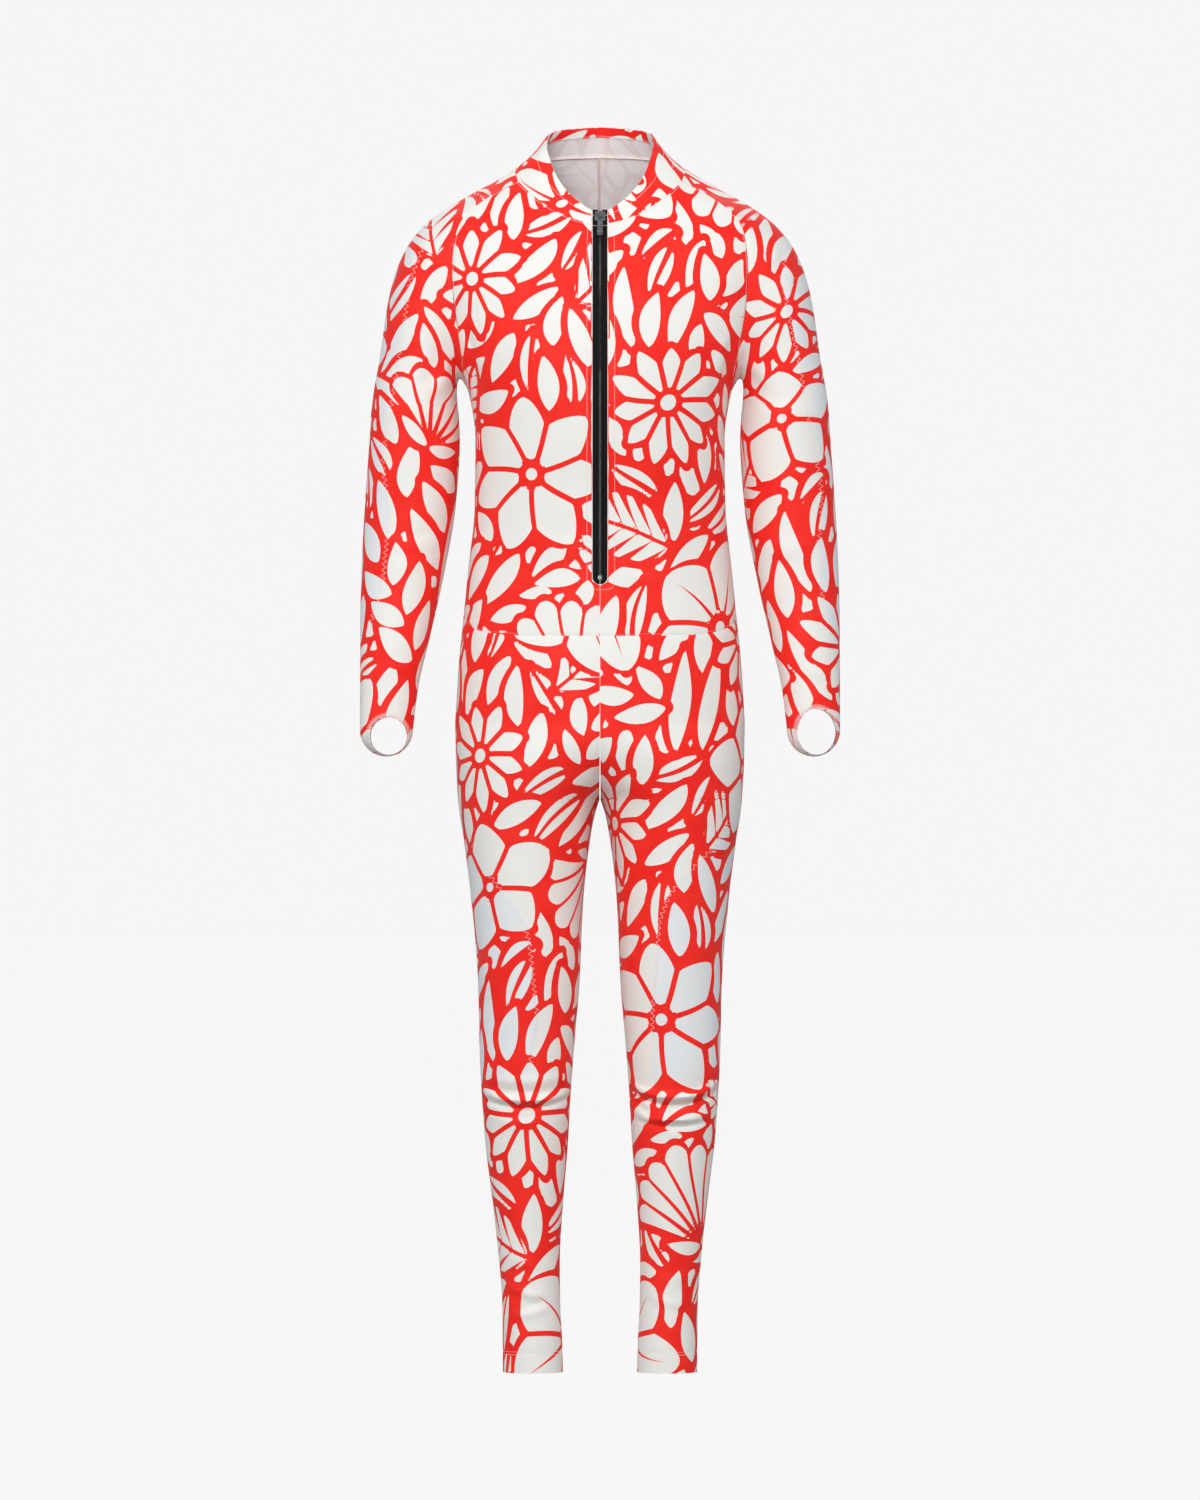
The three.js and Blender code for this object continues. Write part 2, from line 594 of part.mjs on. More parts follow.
// Along the raglan seams the bodice and the sleeve share one normal, so that their cut edges lie
// side by side through the thickness of the cloth.
const armholeNormals = sleeveNormals[sleeveNormals.length - 1];
const mitre = (a, b) => {
  if (a.dot(b) < 0.3) return;
  const mean = a.clone().add(b).normalize();
  a.copy(mean);
  b.copy(mean);
};
for (let k = 1; k <= ABOVE_ARM; k += 1) {
  mitre(frontNormals[BELOW_ARM + k][ACROSS], armholeNormals[k]);
  mitre(backNormals[BELOW_ARM + k][0], armholeNormals[loop.length - k]);
}
for (const side of ["left", "right"]) {
  const turned = side === "left" ? (grid) => grid : reflected;
  const end = side === "left" ? tip : new THREE.Vector3(-tip.x, tip.y, tip.z);
  const inside = end.clone().setZ(end.z + CLOTH);
  const normals = turned(sleeveNormals);
  const bag = solidFrom(wall(turned(sleeveRows), { closed: true, tips: [end, inside], normals }));
  const hole = HAND_HOLE[side];
  const punch = new THREE.CylinderGeometry(1, 1, 4 * loopHalf, 32);
  punch.scale(hole.half, 1, hole.rise);
  punch.translate(end.x + Math.sign(end.x) * hole.outward, end.y, end.z + LOOP_BAND + hole.rise);
  add("sleeve_" + side, geometryFrom(bag.subtract(solidFrom(punch))), cloth);
}
add("bodice_front_left", unzipped(wall(bodiceFront, { normals: frontNormals })), cloth);
add("bodice_front_right", unzipped(wall(reflected(bodiceFront), { normals: reflected(frontNormals) })), cloth);
add("bodice_back_left", wall(bodiceBack, { normals: backNormals }), cloth);
add("bodice_back_right", wall(reflected(bodiceBack), { normals: reflected(backNormals) }), cloth);

// ---------- legs ----------
for (const side of ["left", "right"]) {
  const front = trimmed(legRows("front", side), ["top", "first", "last"]);
  const back = trimmed(legRows("back", side), ["top", "first", "last"]);
  const turned = side === "left" ? (rows) => rows : reflected;
  add("leg_front_" + side, wall(turned(front)), cloth);
  add("leg_back_" + side, wall(turned(facing(back))), cloth);
}

// ---------- collar ----------
// The collar's seam, from the centre front round the neck to the centre back.
const neckSeam = [
  ...frontRows[frontRows.length - 1],
  ...loop.slice(ABOVE_ARM + 1, ABOVE_ARM + NECK_STRIPS).map(({ at }) => at),
  ...[...backRows[backRows.length - 1]].reverse(),
];
function collarHalfRows() {
  const lengths = [0];
  neckSeam.forEach((p, k) => k && lengths.push(lengths[k - 1] + p.distanceTo(neckSeam[k - 1])));
  const whole = lengths[lengths.length - 1];
  return COLLAR_ROWS.map((share) => neckSeam.map((base, k) => {
    const edge = collarAt(lengths[k] / whole);
    const top = new THREE.Vector3(edge.x, edge.y, edge.height);
    const point = base.clone().lerp(top, share);
    point.z -= edge.hollow * Math.sin(Math.PI * share);
    return point;
  }));
}
const leftHalf = collarHalfRows();
const collarRows = reflected(leftHalf).map((row, j) => {
  // The right half reads from the centre back to the centre front, so the left half goes before it.
  const back = leftHalf[j].slice(0, -1);
  return [...back, new THREE.Vector3(0, leftHalf[j].at(-1).y, leftHalf[j].at(-1).z), ...row.slice(1)];
});
const collar = trimmed(collarRows, ["bottom"]);
const collarNormals = normalsOf(collar);
add("collar", unzipped(wall(collar, { normals: collarNormals })), cloth);
// The turned-in edge lies inside the collar's top, just clear of it.
const TURN = { outer: -CLOTH - SEAM_GAP, inner: -CLOTH - SEAM_GAP - 0.9, normals: collarNormals.slice(-2) };
add("collar_turned_edge", unzipped(wall(collar.slice(-2), TURN)), cloth);

// ---------- zip ----------
function zipPoint(height, side) {
  if (height <= NECK_FRONT) return trunkPoint(height, turnAtSide(height, Math.abs(side)), "front").setX(side);
  const base = trunkPoint(NECK_FRONT, 0, "front");
  const top = collarAt(0);
  const share = (height - NECK_FRONT) / (top.height - NECK_FRONT);
  return new THREE.Vector3(side, lerp(base.y, top.y, share), height);
}
const coilTop = SLIDER.height + 1;
const parted = SLIDER.height + 3; // the tapes part behind the slider
const zipHeights = [ZIP.bottom - 1];
const coilBottom = STOP.height + STOP.size / 2 + SEAM_GAP;
for (let k = 0; k <= 12; k += 1) zipHeights.push(lerp(coilBottom, NECK_FRONT, k / 12));
zipHeights.push(coilTop, parted, ZIP.top);
const tapeInner = (height) => EDGE + 2.4 * clamp01((height - coilTop) / (parted - coilTop));
const tapeRows = zipHeights.map((h) => [zipPoint(h, tapeInner(h)), zipPoint(h, ZIP.half + 1)]);
const tapeWall = (rows) => {
  const whole = wall(rows, { outer: -0.2, inner: -0.2 - ZIP.tape });
  return geometryFrom(solidFrom(whole).intersect(tapeSlot));
};
add("zip_tape_left", tapeWall(tapeRows), zipTape);
add("zip_tape_right", tapeWall(reflected(tapeRows)), zipTape);
// The closed chain of the zip, from its bottom stop up to the slider.
const coilRows = zipHeights.slice(1, -2).map((h) => [zipPoint(h, -ZIP.coilHalf), zipPoint(h, ZIP.coilHalf)]);
add("zip_coil", wall(coilRows, { outer: 0.1 + ZIP.coilHeight, inner: 0.1 }), zipCoil);

// A small solid laid on the zip: across it, up along it and out from it, from a point at a height.
function onZip(height, solid) {
  const base = zipPoint(height, 0).setX(0);
  const up = zipPoint(height + 4, 0).setX(0).sub(zipPoint(height - 8, 0).setX(0)).normalize();
  const across = new THREE.Vector3(1, 0, 0);
  const out = across.clone().cross(up);
  const frame = new THREE.Matrix4().makeBasis(across, up, out).setPosition(base);
  return geometryFrom(solid).applyMatrix4(frame);
}
const block = (wide, long, thick, up, out, round = 0) => {
  const corner = Math.max(round, 0.01);
  const core = wasm.CrossSection.square([wide - 2 * corner, long - 2 * corner], true);
  return core.offset(corner, "Round", 2, 24).extrude(thick).translate([0, up, out]);
};

add("zip_bottom_stop", onZip(STOP.height, block(STOP.size, STOP.size, 2.2, 0, 0.1, 0.6)), zipMetal);

// The slider: a front plate with side flanges, a neck between the parted tapes, a back plate, and an
// arch on the front that holds the pull tab.
const plateOut = 0.1 + ZIP.coilHeight + SEAM_GAP;
const flange = (side) => block(1.6, SLIDER.long - 4, ZIP.coilHeight, -1, plateOut - ZIP.coilHeight + 0.2, 0.3)
  .translate([side * (SLIDER.wide / 2 - 1.1), 0, 0]);
const plateTop = plateOut + SLIDER.thick;
const arch = block(ARCH.wide, ARCH.long, ARCH.out, 0, plateTop - 0.1, 0.3)
  .subtract(block(9, ARCH.long - 2 * ARCH.bar, ARCH.out - ARCH.bar, 0, plateTop));
const slider = block(SLIDER.wide, SLIDER.long, SLIDER.thick, 0, plateOut, 3.4)
  .add(flange(-1))
  .add(flange(1))
  .add(block(3, 3, 7, SLIDER.long / 2 - 2.2, plateOut + 1 - 7, 1))
  .add(block(SLIDER.wide - 2, SLIDER.long - 1, 1, 0, plateOut + 1 - 7, 3))
  .add(arch);
add("zip_slider", onZip(SLIDER.height, slider), zipMetal);

// The pull tab hangs from the arch: a round cross bar under the arch, an eye round it, and a flat end.
const barOut = plateTop + PULL.clear + PULL.bar;
const bar = wasm.Manifold.cylinder(PULL.wide - 1, PULL.bar, PULL.bar, 16, true).rotate([0, 90, 0]);
const tab = block(PULL.wide, PULL.long, PULL.thick, PULL.bar - PULL.long / 2, -PULL.thick / 2, 1.6)
  .subtract(block(PULL.eye, PULL.eyeLong, 4, -PULL.bar * 0.8 - PULL.eyeLong / 2, -2, 1))
  .subtract(block(20, 2 * PULL.bar + 0.5, 4, PULL.bar + 0.25, -2))
  .add(bar);
add("zip_pull_tab", onZip(SLIDER.height, tab.translate([0, SLIDER.pivot, barOut])), zipMetal);

suit.updateMatrixWorld(true);
export default suit;
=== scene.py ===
# A one-piece ski race suit, filled out as if worn. Lengths in the tables are millimetres, heights
# are above the ankle hem, +X is the wearer's left and -Y the front.
import math

import bmesh
import bpy
import numpy as np
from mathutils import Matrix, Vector
from mathutils.bvhtree import BVHTree


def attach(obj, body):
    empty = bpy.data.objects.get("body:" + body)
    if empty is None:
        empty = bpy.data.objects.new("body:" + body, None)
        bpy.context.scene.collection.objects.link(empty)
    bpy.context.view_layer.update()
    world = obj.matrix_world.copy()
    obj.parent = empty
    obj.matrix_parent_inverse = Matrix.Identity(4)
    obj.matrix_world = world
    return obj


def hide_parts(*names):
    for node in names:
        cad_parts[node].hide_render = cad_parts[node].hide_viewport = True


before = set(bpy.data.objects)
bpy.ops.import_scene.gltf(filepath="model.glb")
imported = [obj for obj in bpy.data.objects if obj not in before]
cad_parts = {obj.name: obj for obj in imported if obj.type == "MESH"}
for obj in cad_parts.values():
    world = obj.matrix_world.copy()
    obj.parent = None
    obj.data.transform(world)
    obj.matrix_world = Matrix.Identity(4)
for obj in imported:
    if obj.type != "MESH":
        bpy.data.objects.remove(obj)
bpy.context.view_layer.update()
bpy.ops.object.select_all(action="DESELECT")

# ---------- studio ----------
# A plain pale floor, and pale air that lights the suit more from above than from below. Large soft
# lamps stand in front, at the sides and behind, and a long lens looks straight on.
FLOOR = -1.66
EYE = -0.688
AWAY = 12.0
PAPER = {
    "Base Color": (0.04, 0.04, 0.04, 1),
    "Roughness": 0.95,
    "Specular IOR Level": 0,
    "Emission Color": (1, 1, 1, 1),
    "Emission Strength": 0.9,
}


def table(columns, *rows):
    """Rows of values under named columns."""
    names = columns.split()
    return [dict(zip(names, row)) for row in rows]


bpy.ops.mesh.primitive_plane_add(size=80, location=(0, 0, FLOOR))
floor = bpy.context.object
floor.name = "studio_floor"
bpy.ops.object.transform_apply(location=True, rotation=True, scale=True)
paper = bpy.data.materials.new("studio_paper")
paper.use_nodes = True
for socket, value in PAPER.items():
    paper.node_tree.nodes["Principled BSDF"].inputs[socket].default_value = value
floor.data.materials.append(paper)
floor.visible_diffuse = False
floor.visible_glossy = False

world = bpy.data.worlds.new("studio_light")
world.use_nodes = True
nodes, links = world.node_tree.nodes, world.node_tree.links
air = nodes["Background"].inputs
air["Color"].default_value = (1, 1, 1, 1)
rays = nodes.new("ShaderNodeLightPath")
way = nodes.new("ShaderNodeTexCoord")
split = nodes.new("ShaderNodeSeparateXYZ")
above = nodes.new("ShaderNodeMapRange")
above.inputs["From Min"].default_value = -0.5
above.inputs["From Max"].default_value = 0.7
above.inputs["To Min"].default_value = 0.31
above.inputs["To Max"].default_value = 0.56
shown = nodes.new("ShaderNodeMapRange")
links.new(way.outputs["Generated"], split.inputs["Vector"])
links.new(split.outputs["Z"], above.inputs["Value"])
links.new(above.outputs["Result"], shown.inputs["To Min"])
shown.inputs["To Max"].default_value = 0.92
links.new(rays.outputs["Is Camera Ray"], shown.inputs["Value"])
links.new(shown.outputs["Result"], air["Strength"])
bpy.context.scene.world = world
bpy.context.scene.view_settings.view_transform = "Standard"

LAMPS = table(
    "name x y z size power",
    ("front", -0.6, -5.5, 1.6, 2.4, 192),
    ("left", -3.6, -2.4, 1.4, 2.4, 22),
    ("right", 3.6, -2.4, 1.0, 2.4, 18),
    ("back", 0.0, 4.5, 2.2, 3.0, 60),
)
for row in LAMPS:
    bpy.ops.object.light_add(type="AREA", location=(row["x"], row["y"], row["z"]))
    lamp = bpy.context.object
    lamp.name = "lamp_" + row["name"]
    lamp.data.size = row["size"]
    lamp.data.energy = row["power"]
    toward = Vector((0, 0, EYE)) - lamp.location
    lamp.rotation_euler = toward.to_track_quat("-Z", "Y").to_euler()
# A narrow lamp over the open collar lights the inside of the back.
bpy.ops.object.light_add(type="SPOT", location=(0, -3, 0.75))
lamp = bpy.context.object
lamp.name = "lamp_neck"
lamp.data.energy = 140
lamp.data.spot_size = math.radians(2.3)
lamp.data.spot_blend = 0.7
lamp.data.shadow_soft_size = 0.06
lamp.rotation_euler = (Vector((0, 0.08, 0)) - lamp.location).to_track_quat("-Z", "Y").to_euler()

bpy.ops.object.camera_add(location=(0, -AWAY, EYE), rotation=(math.radians(90), 0, 0))
camera = bpy.context.object
camera.data.lens = 36 * AWAY / 1.8
camera.data.sensor_width = 36
camera.data.clip_end = 100
bpy.context.scene.camera = camera

# ---------- bodice ----------
# Two fronts and two backs of printed stretch cloth, laminated, 1.5 mm thick, sewn edge to edge down
# the centre front and back, the sides and the raglan seams. The fronts are cut away for the zip.
CLOTH = 1.5
EDGE = 0.2
SHOULDER_HEIGHT = 1434
BELOW_ARM = 8
ABOVE_ARM = 7
NECK_STRIPS = 3
BODICE_ROWS = 176
BODICE_COLUMNS = 76
WAIST = {"front": 882, "side": 912, "back": 918, "dip": 3.5}
NECK = {"front": 1373, "back": 1461}
ZIP = {"half": 9, "bottom": 943, "top": 1391, "depth": -95}
TRUNK = table(
    "height half front back middle square",
    (778, 174, -107, 127, 8, 2.25),
    (850, 169.5, -105, 115, 6, 2.3),
    (900, 164.5, -101, 103, 4, 2.3),
    (960, 158.5, -99, 95, 2, 2.3),
    (1040, 150.5, -105, 92, 0, 2.35),
    (1118, 149.5, -117, 99, 0, 2.4),
    (1172, 157, -122, 108, 2, 2.4),
    (1220, 176, -121, 114, 4, 2.4),
    (1280, 196, -112, 117, 6, 2.3),
    (1330, 214, -95, 114, 8, 2.2),
    (1373, 226, -74, 104, 10, 2.1),
    (1396, 209, -60, 94, 12, 2.0),
    (1415, 158, -48, 86, 14, 2.0),
    (1429, 125, -38, 80, 16, 2.0),
    (1445, 102, -26, 73, 18, 2.0),
    (1463, 90, -14, 66, 20, 2.0),
)
RAGLAN = {
    "front": table(
        "side height",
        (156, 1172),
        (163, 1200),
        (169, 1240),
        (175, 1280),
        (177, 1320),
        (174, 1356),
        (165, 1381),
        (148, 1398),
        (123, 1415),
        (98, 1428),
    ),
    "back": table(
        "side height",
        (156, 1172),
        (161, 1200),
        (163, 1240),
        (163, 1285),
        (159, 1325),
        (150, 1362),
        (134, 1396),
        (112, 1425),
        (84, 1453),
    ),
}


def reader(table, key):
    """Reads a table smoothly: a monotone cubic through each column, against the one named key."""
    rows = sorted(table, key=lambda row: row[key])
    at = np.array([row[key] for row in rows], float)
    gap = np.diff(at)
    columns = {}
    for name in rows[0]:
        if name == key:
            continue
        value = np.array([row[name] for row in rows], float)
        slope = np.diff(value) / gap
        tangent = np.concatenate((slope[:1], np.zeros(len(at) - 2), slope[-1:]))
        for k in range(1, len(at) - 1):
            if slope[k - 1] * slope[k] > 0:
                w1 = 2 * gap[k] + gap[k - 1]
                w2 = gap[k] + 2 * gap[k - 1]
                tangent[k] = (w1 + w2) / (w1 / slope[k - 1] + w2 / slope[k])
        columns[name] = (value, tangent)

    def read(x):
        x = np.clip(np.asarray(x, float), at[0], at[-1])
        k = np.clip(np.searchsorted(at, x, side="right") - 1, 0, len(at) - 2)
        t = (x - at[k]) / gap[k]
        made = {}
        for name, (value, tangent) in columns.items():
            made[name] = (
                (2 * t**3 - 3 * t**2 + 1) * value[k]
                + (t**3 - 2 * t**2 + t) * gap[k] * tangent[k]
                + (3 * t**2 - 2 * t**3) * value[k + 1]
                + (t**3 - t**2) * gap[k] * tangent[k + 1]
            )
        return made

    return read


def blend_to(a, b, share):
    return a + (b - a) * share


trunk_at = reader(TRUNK, "height")


def turn_at_side(height, side):
    s = trunk_at(height)
    return np.arcsin(np.clip(side / s["half"], 0, 1) ** (s["square"] / 2))


def trunk_point(height, turn, face):
    """A point on the trunk: turn 0 is the centre front or back, a quarter turn is the side."""
    s = trunk_at(height)
    side = s["half"] * np.sin(turn) ** (2 / s["square"])
    share = np.maximum(0, np.cos(turn)) ** (2 / s["square"])
    depth = s["middle"] + (s[face] - s["middle"]) * share
    return np.stack(np.broadcast_arrays(side, depth, height), axis=-1)


def measured(steps, axis=0):
    """How far along each point lies, from the lengths of the steps between them."""
    steps = np.asarray(steps, float)
    start = np.zeros_like(np.take(steps, (0,), axis=axis))
    return np.concatenate((start, np.cumsum(steps, axis=axis)), axis=axis)


def along_line(points, share):
    steps = [math.dist(a.values(), b.values()) for a, b in zip(points, points[1:])]
    lengths = measured(steps)
    table = [{"length": at, **p} for at, p in zip(lengths, points)]
    return reader(table, "length")(share * lengths[-1])


def bodice_grid(face, places, columns):
    """Rows of a bodice panel from the waist seam up to the collar, each from the centre outwards.
    A place is 0 at the waist, BELOW_ARM at the underarm and ABOVE_ARM more at the collar."""
    places = np.asarray(places, float)[:, None]
    share = np.linspace(0, 1, columns)[None, :]
    top = BELOW_ARM + ABOVE_ARM
    rise = np.interp(places, (0, BELOW_ARM, top), (0, 0.565, 1))
    centre = blend_to(WAIST[face], NECK[face], rise)
    seam = along_line(RAGLAN[face], np.clip((places - BELOW_ARM) / ABOVE_ARM, 0, 1))
    below = blend_to(WAIST["side"], RAGLAN[face][0]["height"], places / BELOW_ARM)
    edge = np.where(places <= BELOW_ARM, below, seam["height"])
    bend = blend_to(*((WAIST["dip"], 1.6) if face == "front" else (2, 2.2)), places / top)
    height = blend_to(centre, edge, share**bend)
    straight = blend_to(turn_at_side(height, EDGE), np.pi / 2, share)
    edge_turn = turn_at_side(edge, seam["side"])
    power = 2 / trunk_at(edge)["square"]
    side = seam["side"] * (np.sin(share * edge_turn) ** power / np.sin(edge_turn) ** power)
    curved = turn_at_side(height, np.maximum(EDGE, side))
    return trunk_point(height, blend_to(straight, curved, np.clip(places - BELOW_ARM, 0, 1)), face)


# The print: an all-over pattern of plain flowers, fans, sprigs and leaves, off-white on red, like
# shapes cut from paper. Each cut-out belongs to one of three layers, so that the narrow red gaps
# between neighbours stay sharp on the mesh.
REPEAT = np.array((520.0, 700.0))
CUT_GAP = 5.8
FAR = 12.0  # how far from a cut-out its distance is still told apart


def leaf(length, half, bend=0.0, wide=0.9, blunt=0.8):
    def outline(x, y):
        t = np.clip(y / length, 0, 1)
        lean = np.hypot(1, 2 * bend * t)
        off = np.hypot((x - bend * length * t * t) / lean, y - t * length)
        return off - half * np.abs(np.sin(np.pi * t**wide)) ** blunt

    return outline


def half_leaf(length, half, bend, wide, blunt, side):
    whole = leaf(length, half, bend, wide, blunt)

    def outline(x, y):
        t = np.clip(y / length, 0, 1)
        rib = 1.7 * (1 - t) + 0.5
        return np.maximum(whole(x, y), rib - side * (x - bend * length * t * t))

    return outline


def petal(start, length, half, wide, blunt, sector, side=0):
    whole = leaf(length, half, 0.0, wide, blunt)

    def outline(x, y):
        edge = np.abs(x) * np.cos(sector) - y * np.sin(sector) + 1.7
        fold = 1.3 - 2.6 * (y - start) / length - side * x if side else -9.0
        return np.maximum(np.maximum(whole(x, y - start), edge), fold)

    return outline


def feather(length, half, bend, side, parity, pitch):
    whole = leaf(length, half, bend, 0.8, 0.7)

    def outline(x, y):
        t = np.clip(y / length, 0, 1)
        out = side * (x - bend * length * t * t)
        lobe = np.abs((y - 0.85 * out) / pitch % 2 - parity - 0.5)
        lobe = np.minimum(lobe, 2 - lobe) - 0.5
        gap = 3.4 * np.clip(out / half, 0, 1) - 1.0
        return np.maximum(np.maximum(whole(x, y), 1.1 - out), lobe * pitch * 0.76 + gap)

    return outline


def ribbed(start, length, half, sector, notch):
    def outline(x, y):
        turn = np.arctan2(x, y)
        out = np.hypot(x, y)
        rim = start + length * (1 - notch * (turn / sector) ** 2)
        edge = np.abs(x) * np.cos(sector) - y * np.sin(sector)
        edge = edge + 0.5 + half * (1 - out / (start + length))
        return np.maximum(np.maximum(out - rim, start - out), edge)

    return outline


def hand_cut(points):
    """Sways the lines a little, as if cut by hand, and still repeats."""
    wave = 2 * np.pi * points / REPEAT
    sway = (np.sin(7 * wave[:, 1] + 2 * wave[:, 0]), np.sin(6 * wave[:, 0] - 3 * wave[:, 1]))
    return points + 1.6 * np.stack(sway, axis=1)


cuts = []  # every cut-out of the repeat: place, turn, reach, group, colour layer and outline
step = 4.0
across = np.arange(0, REPEAT[0], step)
along = np.arange(0, REPEAT[1], step)
cells = np.stack(np.meshgrid(across, along), axis=-1).reshape(-1, 2)
trial = hand_cut(cells)


def bare(count):
    """Points with no print: the distance to each layer, and to the groups before and now."""
    return np.full((count, 3), FAR), [np.full(count, FAR), np.full(count, FAR), -1]


trial_field, trial_before = bare(len(trial))


def shape_at(cut, points):
    away = points - cut["at"]
    away -= REPEAT * np.round(away / REPEAT)
    near = (away**2).sum(axis=1) < (cut["reach"] + FAR) ** 2
    away = away[near]
    c, s = np.cos(cut["turn"]), np.sin(cut["turn"])
    return near, cut["outline"](away[:, 0] * c + away[:, 1] * s, away[:, 1] * c - away[:, 0] * s)


def lay(cut, points, field, before):
    """Adds a cut-out to its layer's field, trimmed to leave the gap round the groups before it."""
    if cut["group"] != before[2]:
        before[0] = np.minimum(before[0], before[1])
        before[2] = cut["group"]
    near, far = shape_at(cut, points)
    far = np.maximum(far, CUT_GAP - before[0][near])
    if "layer" not in cut:
        inside = far < 2.5
        if not inside.any():
            return False
        room = field[near][inside].min(axis=0)
        cut["layer"] = int(np.argmax(room))
    layer = cut["layer"]
    field[near, layer] = np.minimum(field[near, layer], far)
    before[1][near] = np.minimum(before[1][near], far)
    return True


def add_cut(at, turn, reach, group, outline):
    cut = {"at": np.array(at, float), "turn": turn, "reach": reach}
    cut.update(group=group, outline=outline)
    if lay(cut, trial, trial_field, trial_before):
        cuts.append(cut)


def flower(x, y, size, petals, turn, group, split=0):
    """Round petals about an open hub."""
    hub = 0.17 * size
    sector = np.pi / petals
    long = size - hub
    half = min(0.92 * (hub + 0.55 * long) * np.tan(sector), 0.46 * long)
    for k in range(petals):
        a = turn + 2 * sector * k
        r = long * (1 + 0.08 * np.sin(2.3 * k + x))
        for side in (-1, 1) if split else (0,):
            add_cut((x, y), a, size * 1.15, group, petal(hub, r, half, 0.78, 0.55, sector, side))
    add_cut((x, y), turn, 0.12 * size, group, lambda p, q: np.hypot(p, q) - 0.085 * size)


def daisy(x, y, size, petals, turn, group):
    hub = 0.24 * size
    sector = np.pi / petals
    long = size - hub
    for k in range(petals):
        a = turn + 2 * sector * k
        r = long * (1 + 0.1 * np.sin(1.7 * k + y))
        add_cut((x, y), a, size * 1.15, group, petal(hub, r, 0.2 * size, 0.75, 0.6, sector))
    add_cut((x, y), turn, 0.2 * size, group, lambda p, q: np.hypot(p, q) - 0.15 * size)


def fan(x, y, size, ribs, turn, group, spread=0.95):
    sector = spread / ribs
    for k in range(ribs):
        side = (k - (ribs - 1) / 2) / ribs * 2
        a = turn - side * spread
        rim = size * (1 - 0.16 * side * side + (0.03 if k % 2 else 0))
        rib = ribbed(0.14 * size, rim - 0.14 * size, 1.2, sector, 0.14)
        add_cut((x, y), a, size * 1.1, group, rib)
    for side in (-1, 1):
        a = turn + side * (spread + 0.42)
        side_leaf = leaf(0.42 * size, 0.075 * size, 0.18 * side, 0.9, 0.8)
        add_cut((x, y), a, 0.5 * size, group, side_leaf)


def sprig(x, y, length, turn, group, pairs=4, bend=0.25, slim=0.42, open_=0.7, spread=0.5):
    """Leaves on both sides of a bare stem, with one at its tip."""
    c, s = np.cos(turn), np.sin(turn)
    leaves = []
    for k in range(pairs):
        t = (k + 0.35) / (pairs + 0.6)
        size = spread * length * (1 - 0.45 * t) * (0.8 if k == 0 else 1)
        for side in (-1, 1):
            u = t + (0.04 if side > 0 else -0.03)
            px = bend * length * u * u + side * 2.2
            py = length * u
            lean = -side * open_ * (1 - 0.25 * t) - np.arctan(2 * bend * u)
            leaves.append((px, py, lean, size * (1 + 0.08 * np.sin(3 * k + side + x)), side))
    u = 0.93
    leaves.append((bend * length * u * u, length * u, -np.arctan(2 * bend), 0.42 * length, 0))
    for px, py, lean, size, side in leaves:
        at = (x + px * c - py * s, y + px * s + py * c)
        blade = leaf(size, slim * size * 0.5, -0.16 * side, 0.85, 0.85)
        add_cut(at, turn + lean, size, group, blade)


def ribbed_leaf(x, y, length, half, bend, turn, group):
    for side in (-1, 1):
        add_cut((x, y), turn, length, group, half_leaf(length, half, bend, 0.85, 0.8, side))


def feathered(x, y, length, half, bend, turn, group, pitch=15.0):
    """A big leaf, notched from its edges towards the midrib."""
    for side in (-1, 1):
        for parity in (0, 1):
            add_cut((x, y), turn, length, group, feather(length, half, bend, side, parity, pitch))


# One repeat of the print, listed one by one: what, where, how big, how many parts and which way.
FLOWERS = table(
    "x y size petals turn split",
    (92, 96, 76, 6, 0.3, 1),
    (356, 214, 82, 5, 0.9, 1),
    (150, 402, 74, 7, 0.1, 0),
    (430, 508, 72, 6, 0.6, 1),
    (262, 636, 62, 5, 0.2, 0),
)
DAISIES = table(
    "x y size petals turn",
    (250, 56, 50, 10, 0.1),
    (36, 262, 46, 9, 0.2),
    (300, 420, 56, 11, 0.0),
    (92, 584, 50, 10, 0.1),
)
FANS = table(
    "x y size ribs turn",
    (196, 190, 96, 7, 0.35),
    (470, 96, 90, 6, -0.5),
    (392, 660, 84, 6, 2.5),
)
BLADES = table(
    "x y length half bend turn",
    (300, 290, 118, 30, 0.16, 1.3),
    (196, 560, 112, 27, -0.2, -0.75),
    (500, 300, 124, 29, 0.2, 0.15),
    (16, 420, 105, 26, 0.2, -0.5),
    (330, 120, 96, 24, -0.2, -0.9),
)
SPRIGS = table(
    "x y length turn pairs bend",
    (10, 140, 125, -0.25, 3, 0.25),
    (60, 470, 125, -0.45, 3, -0.25),
    (400, 340, 110, 0.3, 3, 0.2),
    (160, 690, 120, 1.2, 3, 0.2),
    (330, 510, 120, -2.8, 3, 0.25),
    (505, 590, 125, 0.4, 3, -0.2),
    (230, 330, 100, 2.4, 3, 0.3),
    (350, 40, 100, -0.2, 3, 0.2),
)
group = 0
KINDS = ((flower, FLOWERS), (fan, FANS), (daisy, DAISIES), (feathered, BLADES), (sprig, SPRIGS))
for lay_out, rows in KINDS:
    for row in rows:
        group += 1
        lay_out(group=group, **row)
